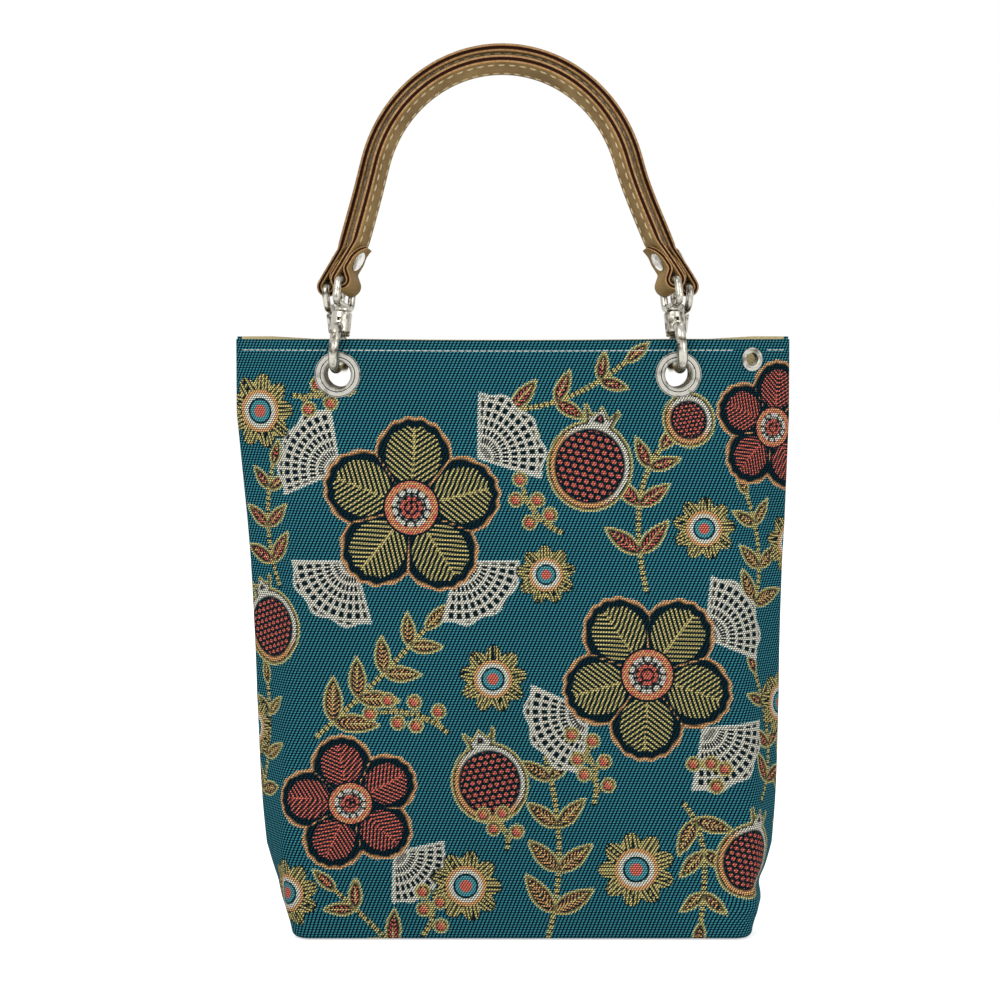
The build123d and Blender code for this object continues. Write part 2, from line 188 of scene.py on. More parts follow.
class NodeSheet:
    """Nodes of one material or of the world, added one at a time."""

    def __init__(self, tree: bpy.types.NodeTree) -> None:
        """Start from an empty tree."""
        self.tree = tree
        self.tree.nodes.clear()

    def add(
        self,
        kind: str,
        settings: Mapping[str, object] | None = None,
        sockets: Mapping[str | int, object] | None = None,
    ) -> bpy.types.Node:
        """Add one node.

        Args:
            kind: Node type.
            settings: Properties, set before the sockets.
            sockets: Socket name or number to a value or a Sock.

        Returns:
            The node.
        """
        node = self.tree.nodes.new(kind)
        for key, value in (settings or {}).items():
            setattr(node, key, value)
        for key, value in (sockets or {}).items():
            if isinstance(value, Sock):
                self.tree.links.new(value.socket, node.inputs[key])
            else:
                node.inputs[key].default_value = value
        return node

    def out(self, node: bpy.types.Node, key: str | int = 0) -> Sock:
        """Wrap one output of a node."""
        return Sock(self, node.outputs[key])

    def math(self, operation: str, *values: "Sock | float") -> Sock:
        """Add a Math node.

        Args:
            operation: Its operation.
            values: Its inputs in order.

        Returns:
            Its result.
        """
        node = self.add("ShaderNodeMath", {"operation": operation}, dict(enumerate(values)))
        return self.out(node)

    def ramp(self, value: Sock, low: float, high: float) -> Sock:
        """Smooth step of a value between two limits.

        Args:
            value: What is measured.
            low: Where the step leaves nought.
            high: Where it reaches one.

        Returns:
            The step.
        """
        node = self.add(
            "ShaderNodeMapRange",
            {"interpolation_type": "SMOOTHSTEP"},
            {"Value": value, "From Min": low, "From Max": high},
        )
        return self.out(node, "Result")

    def mix(
        self, share: "Sock | float", first: "Sock | Colour", second: "Sock | Colour", blend: str = "MIX"
    ) -> Sock:
        """Mix two colours.

        Args:
            share: How much of the second.
            first: Colour at nought.
            second: Colour at one.
            blend: Way of mixing.

        Returns:
            The mixed colour.
        """
        settings = {"data_type": "RGBA", "blend_type": blend}
        return self.out(self.add("ShaderNodeMix", settings, {0: share, 6: first, 7: second}), 2)

    def grey(self, value: Sock) -> Sock:
        """Turn a value into a grey colour."""
        node = self.add("ShaderNodeCombineColor", None, {0: value, 1: value, 2: value})
        return self.out(node)

    def field(self, name: str) -> tuple[Sock, Sock, Sock, Sock]:
        """Read a colour attribute of the piece.

        Args:
            name: The attribute.

        Returns:
            Its four channels.
        """
        node = self.add("ShaderNodeAttribute", {"attribute_name": name})
        parts = self.add("ShaderNodeSeparateXYZ", None, {0: self.out(node, "Vector")})
        return self.out(parts, 0), self.out(parts, 1), self.out(parts, 2), self.out(node, "Alpha")

    def place(self) -> tuple[Sock, Sock, Sock]:
        """Read Object coordinates.

        Returns:
            Places across, deep and up, in millimetres.
        """
        node = self.add("ShaderNodeTexCoord")
        parts = self.add("ShaderNodeSeparateXYZ", None, {0: self.out(node, "Object")})
        return tuple(self.out(parts, i) * (1 / MM) for i in range(3))

    def noise(self, scale: float, detail: float = 3.0, vector: Sock | None = None) -> Sock:
        """Noise over the piece.

        Args:
            scale: Its scale on Object coordinates or on the vector.
            detail: Its octaves.
            vector: What it is laid on, or None for Object coordinates.

        Returns:
            Noise about one half.
        """
        if vector is None:
            vector = self.out(self.add("ShaderNodeTexCoord"), "Object")
        node = self.add("ShaderNodeTexNoise", None, {"Vector": vector, "Scale": scale, "Detail": detail})
        return self.out(node, 0)

    def combine(self, x: "Sock | float", y: "Sock | float", z: "Sock | float") -> Sock:
        """Join three values as a vector."""
        return self.out(self.add("ShaderNodeCombineXYZ", None, {0: x, 1: y, 2: z}))

    def bump(self, height: Sock, strength: float, distance: float) -> Sock:
        """Bump from a height.

        Args:
            height: Height from nought to one.
            strength: How strongly it shades.
            distance: Height of one, in metres.

        Returns:
            The normal.
        """
        sockets = {"Height": height, "Strength": strength, "Distance": distance}
        return self.out(self.add("ShaderNodeBump", None, sockets))

    def surface(self, sockets: Mapping[str, object]) -> None:
        """End the sheet in a Principled shader with these sockets."""
        shader = self.add("ShaderNodeBsdfPrincipled", None, sockets)
        self.add("ShaderNodeOutputMaterial", None, {"Surface": self.out(shader)})


def new_material(name: str) -> tuple[bpy.types.Material, NodeSheet]:
    """Start a material.

    Args:
        name: Its name.

    Returns:
        The material and its empty sheet.
    """
    material = bpy.data.materials.new(name)
    material.use_nodes = True
    return material, NodeSheet(material.node_tree)


# Woven design

FAR_OFF = 50.0
STEM_STEPS = 24
LEAF_ANGLE = 48.0
LEAF_TAPER_SHARE = 0.35
TIP_LEAF_SHARE = 0.7
STALK_ANGLE = 52.0
STALK_BEND = 0.6
STALK_HALF_WIDTH = 0.5
BERRY_RADIUS = 3.1
DRAWN_SIZES = {Kind.BLOSSOM: 40.0, Kind.DAISY: 16.0, Kind.FRUIT: 20.0}


@dataclass(frozen=True)
class Motif:
    """One motif of the cloth, in millimetres on the flat cloth."""

    kind: Kind
    u: float
    v: float
    size: float
    turn: float = 0.0
    tint: float = 0.0

    @property
    def scale(self) -> float:
        """Factor from this motif's size to the size that its weave is drawn for."""
        return DRAWN_SIZES[self.kind] / self.size

    def field(self, u: np.ndarray, v: np.ndarray) -> np.ndarray:
        """Measure the motif at points of the cloth.

        Args:
            u: Places across.
            v: Places up.

        Returns:
            Rows of distance to the outline, two local places and the tint.
        """
        cos, sin = math.cos(math.radians(self.turn)), math.sin(math.radians(self.turn))
        du, dv = u - self.u, v - self.v
        x, y = du * cos + dv * sin, dv * cos - du * sin
        shapes = {
            Kind.LEAF: self.leaf,
            Kind.FAN: self.fan,
            Kind.FRUIT: self.fruit,
            Kind.DAISY: self.daisy,
            Kind.BLOSSOM: self.blossom,
            Kind.BERRY: self.berry,
        }
        edge, first, second = shapes[self.kind](x, y)
        return np.stack([edge, first, second, np.full_like(edge, self.tint)], axis=1)

    def folded(self, x: np.ndarray, y: np.ndarray, count: int) -> Fields:
        """Fold the plane onto half of one petal.

        Args:
            x: Local places.
            y: Local places.
            count: Petals in the ring.

        Returns:
            Reach, place along the petal and place beside its middle.
        """
        half = math.pi / count
        reach = np.hypot(x, y)
        angle = np.mod(np.arctan2(y, x) + half, 2 * half) - half
        return reach, reach * np.cos(angle), reach * np.abs(np.sin(angle))

    def blossom(self, x: np.ndarray, y: np.ndarray) -> Fields:
        """Open flower of five broad round petals.

        Args:
            x: Local places.
            y: Local places.

        Returns:
            Distance to the outline, place along a petal and place beside its middle.
        """
        middle, petal_radius, heart_radius, lobe_depth = (s * self.size for s in (0.58, 0.42, 0.32, 0.012))
        squeeze = 1.02
        reach, along, beside = self.folded(x, y, 5)
        petal = np.hypot(along - middle, beside * squeeze) - petal_radius
        lobe = lobe_depth * np.cos(beside * self.scale)
        return np.minimum(petal + lobe, reach - heart_radius), along * self.scale, beside * self.scale

    def daisy(self, x: np.ndarray, y: np.ndarray) -> Fields:
        """Small flower of nine narrow petals.

        Args:
            x: Local places.
            y: Local places.

        Returns:
            Distance to the outline, place along a petal and place beside its middle.
        """
        middle, petal_radius, heart_radius = (s * self.size for s in (0.68, 0.32, 0.62))
        squeeze = 1.35
        reach, along, beside = self.folded(x, y, 9)
        petal = np.hypot(along - middle, beside * squeeze) - petal_radius
        return np.minimum(petal, reach - heart_radius), along * self.scale, beside * self.scale

    def leaf(self, x: np.ndarray, y: np.ndarray) -> Fields:
        """Slim leaf that starts at its place and points along its turn.

        Args:
            x: Local places.
            y: Local places.

        Returns:
            Distance to the outline, place along the leaf and place beside its rib.
        """
        half_share, lean, fullness = 0.19, 0.8, 0.85
        share = np.clip(x / self.size, 0, 1)
        half = half_share * self.size * np.sin(math.pi * share**lean) ** fullness
        return np.maximum(np.abs(y) - half, np.maximum(-x, x - self.size)), x, np.abs(y)

    def fan(self, x: np.ndarray, y: np.ndarray) -> Fields:
        """Fan-shaped leaf with a scalloped rim.

        Args:
            x: Local places.
            y: Local places.

        Returns:
            Distance to the outline, reach from its foot and angle from its middle.
        """
        scallops, scallop_share, half_spread = 12, 0.035, 0.92
        reach, angle = np.hypot(x, y), np.arctan2(y, x)
        rim = self.size * (1 + scallop_share * np.cos(angle * scallops))
        sides = reach * np.sin(np.clip(np.abs(angle) - half_spread, -math.pi / 2, math.pi / 2))
        return np.maximum(reach - rim, sides), reach, angle

    def fruit(self, x: np.ndarray, y: np.ndarray) -> Fields:
        """Round fruit with a toothed crown.

        Args:
            x: Local places.
            y: Local places.

        Returns:
            Distance to the outline, place across and place up.
        """
        crown_foot, crown_half, crown_height, tooth = (s * self.size for s in (0.9, 0.26, 0.42, 0.12))
        squeeze, flare, tooth_turns = 0.94, 0.35, 16
        body = np.hypot(x, y * squeeze) - self.size
        rise = y - crown_foot
        teeth = crown_height + tooth * np.cos(x * tooth_turns / self.size)
        crown = np.maximum(np.abs(x) - (crown_half + flare * rise), np.maximum(rise - teeth, -rise))
        return np.minimum(body, crown), x * self.scale, y * self.scale

    def berry(self, x: np.ndarray, y: np.ndarray) -> Fields:
        """Round berry."""
        return np.hypot(x, y) - self.size, x, y


@dataclass(frozen=True)
class Stem:
    """Curved stem between two points of the cloth, bent toward a third."""

    start: Point2
    bend: Point2
    end: Point2
    half_width: float = 0.8
    tint: float = 0.0

    def at(self, share: float) -> Point2:
        """Find a point of the stem.

        Args:
            share: Share of the way.

        Returns:
            Its place on the cloth.
        """
        rest = 1 - share
        return tuple(
            rest * rest * a + 2 * rest * share * b + share * share * c
            for a, b, c in zip(self.start, self.bend, self.end)
        )

    def heading(self, share: float) -> float:
        """Find the stem's heading.

        Args:
            share: Share of the way.

        Returns:
            The heading in degrees.
        """
        rest = 1 - share
        du, dv = (rest * (b - a) + share * (c - b) for a, b, c in zip(self.start, self.bend, self.end))
        return math.degrees(math.atan2(dv, du))

    def field(self, u: np.ndarray, v: np.ndarray) -> np.ndarray:
        """Measure the stem at points of the cloth.

        Args:
            u: Places across.
            v: Places up.

        Returns:
            Rows of distance to the outline, place along, place beside and the tint.
        """
        points = [self.at(i / STEM_STEPS) for i in range(STEM_STEPS + 1)]
        nearest = np.full_like(u, np.inf)
        along = np.zeros_like(u)
        walked = 0.0
        for (au, av), (bu, bv) in zip(points, points[1:]):
            length = math.hypot(bu - au, bv - av)
            share = np.clip(((u - au) * (bu - au) + (v - av) * (bv - av)) / length**2, 0, 1)
            reach = np.hypot(u - au - share * (bu - au), v - av - share * (bv - av))
            closer = reach < nearest
            nearest = np.where(closer, reach, nearest)
            along = np.where(closer, walked + share * length, along)
            walked += length
        rows = [nearest - self.half_width, along, nearest, np.full_like(u, self.tint)]
        return np.stack(rows, axis=1)

    def leafed(self, pairs: int, length: float, tint: float = 0.0) -> list["Motif | Stem"]:
        """Dress the stem with leaves in pairs.

        Args:
            pairs: Pairs of leaves.
            length: Length of the longest leaf.
            tint: Tint of the leaves.

        Returns:
            The stem and its leaves.
        """
        parts: list[Motif | Stem] = [self]
        for i in range(pairs):
            share = (i + TIP_LEAF_SHARE) / (pairs + 1 - TIP_LEAF_SHARE)
            u, v = self.at(share)
            size = length * (1 - LEAF_TAPER_SHARE * share)
            for way in (-1, 1):
                parts.append(Motif(Kind.LEAF, u, v, size, self.heading(share) + way * LEAF_ANGLE, tint))
        u, v = self.at(1.0)
        parts.append(Motif(Kind.LEAF, u, v, length * TIP_LEAF_SHARE, self.heading(1.0), tint))
        return parts

    def berried(self, count: int, reach: float) -> list["Motif | Stem"]:
        """Hang berries on short stalks along the stem.

        Args:
            count: Number of berries.
            reach: Length of the stalks.

        Returns:
            The stem, the stalks and the berries.
        """
        parts: list[Motif | Stem] = [self]
        for i in range(count):
            share = (i + 1) / count
            u, v = self.at(share)
            way = 0 if i == count - 1 else 1 if i % 2 else -1
            angle = math.radians(self.heading(share) + way * STALK_ANGLE)
            tip = (u + reach * math.cos(angle), v + reach * math.sin(angle))
            bend = ((u + tip[0]) / 2, (v + tip[1]) / 2 + STALK_BEND)
            parts.append(Stem((u, v), bend, tip, STALK_HALF_WIDTH))
            parts.append(Motif(Kind.BERRY, *tip, BERRY_RADIUS))
        return parts


def cloth_design() -> list[Motif | Stem]:
    """Lay out the garden pattern of the cloth: blossoms, fans, fruit, daisies, leaves and berries.

    Returns:
        The motifs and stems, in millimetres on the flat cloth.
    """
    fan, fruit, daisy, blossom = Kind.FAN, Kind.FRUIT, Kind.DAISY, Kind.BLOSSOM
    parts: list[Motif | Stem] = [
        Motif(blossom, -50, 208, 43, 14),
        Motif(blossom, 62, 128, 41, 52),
        Motif(blossom, -80, 66, 33, 30, 1),
        Motif(blossom, 128, 246, 32, 10, 1),
        Motif(fan, -17, 232, 31, 35),
        Motif(fan, -84, 226, 30, 150),
        Motif(fan, -28, 182, 29, -52),
        Motif(fan, -78, 182, 30, 232),
        Motif(fan, 90, 146, 29, 30),
        Motif(fan, 34, 110, 30, 208),
        Motif(fan, 88, 102, 30, -48),
        Motif(fan, -60, 42, 24, -40),
        Motif(fruit, 36, 228, 20, -14),
        Motif(fruit, -122, 150, 17, 18),
        Motif(fruit, -14, 76, 18, 12),
        Motif(fruit, 110, 38, 17, -16),
        Motif(fruit, 84, 250, 12, 10),
        Motif(daisy, -12, 126, 16, 8),
        Motif(daisy, 56, 34, 18, 20),
        Motif(daisy, -26, 26, 17),
        Motif(daisy, 90, 198, 15, 5),
        Motif(daisy, 14, 176, 14, 12),
        Motif(daisy, -124, 254, 18, 3),
        Motif(daisy, -112, 22, 16, 14),
        Motif(daisy, 136, 112, 16, 9),
        Motif(daisy, -138, 100, 15, 9),
        Motif(daisy, 140, 190, 15, 9),
    ]
    parts += Stem((12, 0), (26, 40), (12, 92)).leafed(4, 24)
    parts += Stem((62, 168), (52, 214), (70, 236)).leafed(3, 22, 1)
    parts += Stem((-96, 98), (-72, 120), (-44, 150)).leafed(4, 23)
    parts += Stem((-16, 256), (20, 250), (54, 278)).leafed(3, 20, 1)
    parts += Stem((-116, 170), (-128, 196), (-118, 228)).leafed(3, 19, 1)
    parts += Stem((78, 66), (92, 50), (86, 8)).leafed(3, 20)
    parts += Stem((118, 66), (134, 84), (116, 128)).leafed(3, 18, 1)
    parts += Stem((110, 152), (128, 172), (112, 214)).leafed(3, 20)
    parts += Stem((-50, -18), (-72, 8), (-88, 24)).leafed(2, 20, 1)
    parts += Stem((-140, 60), (-120, 80), (-126, 122)).leafed(3, 18)
    parts += Stem((140, 10), (150, 40), (138, 84)).leafed(3, 18, 1)
    parts += Stem((-34, 100), (-46, 112), (-64, 110)).berried(6, 7)
    parts += Stem((22, 196), (8, 202), (4, 216)).berried(5, 6)
    parts += Stem((36, 66), (40, 82), (30, 94)).berried(6, 7)
    parts += Stem((-106, 262), (-92, 258), (-82, 270)).berried(6, 7)
    parts += Stem((106, 80), (98, 76), (88, 82)).berried(4, 6)
    parts += Stem((-6, 44), (-4, 54), (-12, 58)).berried(4, 6)
    parts += Stem((-48, 2), (-40, 10), (-44, 18)).berried(4, 6)
    return parts


def cloth_fields(u: np.ndarray, v: np.ndarray) -> dict[str, np.ndarray]:
    """Measure the whole design at points of the cloth.

    Args:
        u: Places across, in millimetres.
        v: Places up, in millimetres.

    Returns:
        For each kind of motif, rows of distance, two local places and tint.
    """
    fields = {kind.value: np.tile([FAR_OFF, 0.0, 0.0, 0.0], (len(u), 1)) for kind in Kind}
    for part in cloth_design():
        name = part.kind.value if isinstance(part, Motif) else Kind.STEM.value
        rows = part.field(u, v)
        nearer = rows[:, 0] < fields[name][:, 0]
        fields[name][nearer] = rows[nearer]
    return fields


# Finishes


@dataclass(frozen=True)
class Patch:
    """Where a thread lies on a motif: distance to the outline, two local places and the tint.

    The local places are along and beside on a stem, leaf or petal, reach and angle on a fan, and across
    and up on a fruit or berry.
    """

    sheet: NodeSheet
    edge: Sock
    first: Sock
    second: Sock
    tint: Sock


@dataclass(frozen=True)
class Jacquard:
    """Woven cloth: a teal ground of slanting dashes with motifs in coloured floats.

    Lengths are in millimetres on the flat cloth. The weave of a motif steps its colours by the distance to
    the motif's outline, which is below nought inside, and by places on the motif at its drawn size.
    """

    ground: Colour = tone(0, 16, 25)
    dash: Colour = tone(60, 136, 150)
    navy: Colour = tone(6, 22, 32)
    straw: Colour = tone(222, 204, 128)
    peach: Colour = tone(240, 178, 116)
    coral: Colour = tone(236, 118, 98)
    cream: Colour = tone(240, 236, 218)
    sky: Colour = tone(88, 166, 176)
    dash_width: float = 1.77
    dash_height: float = 1.2
    dash_slant: float = -0.3
    float_width: float = 1.3
    float_height: float = 1.0
    float_slant: float = -0.5
    thread_round: Point2 = (4.2, 3.4)
    thread_fall: Limits = (0.36, 0.88)
    outline_jag: float = 0.7
    outline_fall: Limits = (0.45, 0.75)
    gap_shade: float = 0.14
    float_shade: float = 1.12
    dash_rise: float = 0.5
    dash_veil: float = 0.09
    wear_scale: float = 14.0
    wear_dark: float = 0.88
    wear_spread: float = 0.24
    roughness: float = 0.88
    thread_gloss: float = 0.16
    specular: float = 0.03
    relief: Relief = (0.5, 0.0003)

    def material(self) -> bpy.types.Material:
        """Make the material, which reads the cloth's own attributes.

        Returns:
            The material.
        """
        material, sheet = new_material("woven_jacquard")
        u, v, _, _ = sheet.field("cloth")
        dashes = self.cells(u, v, self.dash_width, self.dash_height, self.dash_slant)
        floats = self.cells(u, v, self.float_width, self.float_height, self.float_slant)
        colour = sheet.mix(dashes, self.ground, self.dash)
        raised = dashes * self.dash_rise
        jag = (0.5 - floats) * self.outline_jag
        shade = sheet.grey(self.gap_shade + floats * self.float_shade)
        weaves = (
            (Kind.STEM, self.stem),
            (Kind.LEAF, self.leaf),
            (Kind.FAN, self.fan),
            (Kind.FRUIT, self.fruit),
            (Kind.DAISY, self.daisy),
            (Kind.BLOSSOM, self.blossom),
            (Kind.BERRY, self.berry),
        )
        for kind, weave in weaves:
            edge, first, second, tint = sheet.field(kind.value)
            patch = Patch(sheet, edge + jag, first, second, tint)
            inside = patch.edge.fall(*self.outline_fall)
            threads = sheet.mix(1.0, weave(patch), shade, "MULTIPLY")
            colour = sheet.mix(inside, colour, threads)
            raised = raised + inside * (floats - raised)
        colour = sheet.mix(dashes * self.dash_veil, colour, self.dash)
        wear = sheet.grey(self.wear_dark + sheet.noise(self.wear_scale) * self.wear_spread)
        sheet.surface(
            {
                "Base Color": sheet.mix(1.0, colour, wear, "MULTIPLY"),
                "Roughness": self.roughness - raised * self.thread_gloss,
                "Specular IOR Level": self.specular,
                "Normal": sheet.bump(raised, *self.relief),
            }
        )
        return material

    def cells(self, u: Sock, v: Sock, width: float, height: float, slant: float) -> Sock:
        """Rows of short thread floats, each row moved on from the last.

        Args:
            u: Place across.
            v: Place up.
            width: Spacing across.
            height: Spacing up.
            slant: How far each row moves on, as a share of the width.

        Returns:
            One on the floats and nought between them.
        """
        row = v * (1 / height)
        across = abs((u * (1 / width) + row * slant).fraction() - 0.5)
        up = abs(row.fraction() - 0.5)
        wide, tall = self.thread_round
        return (across * across * wide + up * up * tall).root().fall(*self.thread_fall)

    def stripes(self, place: Sock, pitch: float, share: float) -> Sock:
        """Lines of thread across a place.

        Args:
            place: What is measured.
            pitch: Spacing of the lines.
            share: Part of the spacing that the line takes.

        Returns:
            One on the lines and nought between them.
        """
        blur = 0.14
        off = abs((place * (1 / pitch)).fraction() - 0.5) * 2
        return off.fall(share - blur, share + blur)

    def dots(self, x: Sock, y: Sock, pitch: float, share: float) -> Sock:
        """Staggered round dots.

        Args:
            x: Place across.
            y: Place up.
            pitch: Spacing of the dots.
            share: Size of a dot as a share of the spacing.

        Returns:
            One on the dots and nought between them.
        """
        row_share, blur = 0.86, 0.1
        row = y * (1 / (pitch * row_share))
        across = (x * (1 / pitch) + row.floor() * 0.5).fraction() - 0.5
        up = row.fraction() - 0.5
        return (across * across + up * up).root().fall(share - blur, share + blur)

    def stem(self, patch: Patch) -> Sock:
        """Straw line with dark ticks."""
        line = patch.sheet.mix(self.stripes(patch.first, 2.6, 0.72), self.navy, self.straw)
        return patch.sheet.mix(patch.edge.ramp(0.1, 0.4), line, self.navy)

    def leaf(self, patch: Patch) -> Sock:
        """Leaf with a straw rim and slanting lines in peach or coral.

        Args:
            patch: Where the thread lies.

        Returns:
            The thread colour.
        """
        sheet, edge, along, beside = patch.sheet, patch.edge, patch.first, patch.second
        lines = self.stripes(along - beside * 1.1, 2.1, 0.48)
        body = sheet.mix(lines, self.navy, sheet.mix(patch.tint, self.peach, self.coral))
        body = sheet.mix(beside.fall(0.35, 0.7), body, self.straw)
        body = sheet.mix(edge.ramp(-1.5, -1.1), body, self.navy)
        return sheet.mix(edge.ramp(-0.7, -0.4), body, self.straw)

    def fan(self, patch: Patch) -> Sock:
        """Fan of cream lattice on navy.

        Args:
            patch: Where the thread lies.

        Returns:
            The thread colour.
        """
        sheet, edge, reach, angle = patch.sheet, patch.edge, patch.first, patch.second
        ribs = self.stripes(angle + 0.5, 0.153, 0.4)
        hoops = self.stripes(reach, 4.3, 0.34)
        body = sheet.mix(ribs.most(hoops), self.navy, self.cream)
        return sheet.mix(edge.ramp(-1.0, -0.6), body, self.cream)

    def fruit(self, patch: Patch) -> Sock:
        """Fruit with coral seeds inside peach and cream hoops.

        Args:
            patch: Where the thread lies.

        Returns:
            The thread colour.
        """
        sheet, edge, x, y = patch.sheet, patch.edge, patch.first, patch.second
        seeds = self.dots(x, y, 3.6, 0.34)
        body = sheet.mix(seeds, self.navy, self.coral)
        body = sheet.mix(edge.ramp(-4.6, -4.2), body, self.navy)
        rim = sheet.mix((x + y).ramp(-9.0, 9.0), self.peach, self.cream)
        body = sheet.mix(edge.ramp(-3.4, -3.0), body, rim)
        body = sheet.mix(edge.ramp(-1.5, -1.1), body, self.navy)
        return sheet.mix(edge.ramp(-0.7, -0.3), body, self.straw)

    def daisy(self, patch: Patch) -> Sock:
        """Daisy with straw petals, a cream and peach ring and a coral heart.

        Args:
            patch: Where the thread lies.

        Returns:
            The thread colour.
        """
        sheet, edge, along, beside = patch.sheet, patch.edge, patch.first, patch.second
        reach = (along * along + beside * beside).root()
        rays = self.stripes(beside + 0.55, 1.5, 0.6)
        petals = sheet.mix(rays, self.navy, self.straw)
        ring = sheet.mix(reach.ramp(7.4, 7.8), self.cream, self.peach)
        heart = sheet.mix(reach.fall(2.6, 3.0), self.sky, self.coral)
        heart = sheet.mix(reach.ramp(4.6, 5.0) * reach.fall(5.4, 5.8), heart, self.navy)
        body = sheet.mix(reach.ramp(5.6, 5.9), heart, ring)
        body = sheet.mix(reach.ramp(9.0, 9.3), body, petals)
        return sheet.mix(edge.ramp(-0.3, 0.1), body, self.navy)

    def blossom(self, patch: Patch) -> Sock:
        """Blossom with feathered petals, a peach rim and a seeded heart.

        Args:
            patch: Where the thread lies.

        Returns:
            The thread colour.
        """
        sheet, edge, along, beside = patch.sheet, patch.edge, patch.first, patch.second
        reach = (along * along + beside * beside).root()
        lines = self.stripes(along - beside * 0.75, 2.5, 0.44)
        thread = sheet.mix(patch.tint, self.straw, self.coral)
        petal = sheet.mix(lines, self.navy, thread)
        petal = sheet.mix(beside.fall(0.4, 0.8), petal, thread)
        petal = sheet.mix(edge.ramp(-4.6, -4.0), petal, self.navy)
        half_turn = math.pi / 5
        split = along * math.sin(half_turn) - beside * math.cos(half_turn)
        petal = sheet.mix(split.fall(1.1, 1.6), petal, self.navy)
        petal = sheet.mix(edge.ramp(-1.0, -0.6).most(split.fall(0.3, 0.7)), petal, self.peach)
        seeds = self.dots(along, beside, 2.7, 0.36)
        heart = sheet.mix(seeds, self.navy, self.coral)
        beads = self.dots(along, beside, 3.1, 0.4)
        heart = sheet.mix(reach.ramp(5.4, 5.8), heart, sheet.mix(beads, self.navy, self.cream))
        heart = sheet.mix(reach.ramp(8.6, 9.0), heart, sheet.mix(seeds, self.peach, self.coral))
        heart = sheet.mix(reach.ramp(11.6, 12.0), heart, self.navy)
        return sheet.mix(reach.ramp(12.6, 13.0), heart, petal)

    def berry(self, patch: Patch) -> Sock:
        """Coral berry with a straw rim.

        Args:
            patch: Where the thread lies.

        Returns:
            The thread colour.
        """
        sheet, edge, x, y = patch.sheet, patch.edge, patch.first, patch.second
        body = sheet.mix((x + y).ramp(-0.4, 1.6), self.coral, self.peach)
        body = sheet.mix(edge.ramp(-1.2, -0.9), body, self.navy)
        return sheet.mix(edge.ramp(-0.6, -0.3), body, self.straw)


@dataclass(frozen=True)
class LiningCloth:
    """Plain-woven beige cotton."""

    thread: Colour = tone(206, 192, 148)
    gap: Colour = tone(168, 152, 108)
    pitch: float = 0.8
    slub_scale: float = 60.0
    roughness: float = 0.86
    specular: float = 0.2
    sheen: float = 0.05
    relief: Relief = (0.35, 0.0002)

    def material(self) -> bpy.types.Material:
        """Make the material on Object coordinates.

        Returns:
            The material.
        """
        material, sheet = new_material("beige_cotton")
        x, y, z = sheet.place()
        warp = ((x + y) * (math.pi / self.pitch)).sine()
        weft = (z * (math.pi / self.pitch)).sine()
        weave = (warp * weft) * 0.5 + 0.5
        slub = sheet.noise(self.slub_scale, 4.0)
        colour = sheet.mix((weave * 0.6 + slub * 0.5).ramp(0.1, 0.9), self.gap, self.thread)
        sheet.surface(
            {
                "Base Color": colour,
                "Roughness": self.roughness + slub * 0.08,
                "Specular IOR Level": self.specular,
                "Sheen Weight": self.sheen,
                "Normal": sheet.bump(weave, *self.relief),
            }
        )
        return material


@dataclass(frozen=True)
class Leather:
    """Waxed tan leather with raw edges and a dark glue line between plies."""

    face: Colour = tone(150, 122, 74)
    shade: Colour = tone(118, 92, 50)
    edge: Colour = tone(186, 148, 104)
    cut: Colour = tone(152, 112, 70)
    glue: Colour = tone(40, 14, 0)
    grain_scale: float = 900.0
    blotch_scale: float = 55.0
    fibre_scale: float = 700.0
    glue_fall: Limits = (0.36, 0.5)
    roughness: float = 0.5
    specular: float = 0.12
    relief: Relief = (0.22, 0.0002)

    def material(self) -> bpy.types.Material:
        """Make the material, which reads the strap's own attribute.

        Returns:
            The material.
        """
        material, sheet = new_material("tan_leather")
        along, across, rim, depth = sheet.field("strap")
        vector = sheet.combine(along * MM, across * MM, depth * MM)
        sockets = {"Vector": vector, "Scale": self.grain_scale}
        pebble = sheet.out(sheet.add("ShaderNodeTexVoronoi", {"feature": "F1"}, sockets), "Distance")
        blotch = sheet.noise(self.blotch_scale, 4.0, vector)
        face = sheet.mix(blotch.ramp(0.3, 0.72), self.shade, self.face)
        fibre = sheet.noise(self.fibre_scale, 2.0, vector)
        cut = sheet.mix(fibre.ramp(0.25, 0.75), self.cut, self.edge)
        cut = sheet.mix(depth.fall(*self.glue_fall), cut, self.glue)
        colour = sheet.mix(rim.ramp(0.35, 0.65), face, cut)
        height = (1 - pebble * 1.1) * (1 - rim) + fibre * rim
        sheet.surface(
            {
                "Base Color": colour,
                "Roughness": self.roughness + pebble * 0.22 + rim * 0.12,
                "Specular IOR Level": self.specular,
                "Normal": sheet.bump(height, *self.relief),
            }
        )
        return material


@dataclass(frozen=True)
class Thread:
    """Waxed sewing thread, twisted."""

    name: str
    light: Colour
    dark: Colour
    twist_rate: float = 9.0
    roughness: float = 0.7
    specular: float = 0.3
    relief: Relief = (0.4, 0.0001)

    def material(self) -> bpy.types.Material:
        """Make the material on Object coordinates.

        Returns:
            The material.
        """
        material, sheet = new_material(self.name)
        x, y, z = sheet.place()
        twist = ((x + y + z) * self.twist_rate).sine() * 0.5 + 0.5
        sheet.surface(
            {
                "Base Color": sheet.mix(twist, self.dark, self.light),
                "Roughness": self.roughness - twist * 0.15,
                "Specular IOR Level": self.specular,
                "Normal": sheet.bump(twist, *self.relief),
            }
        )
        return material


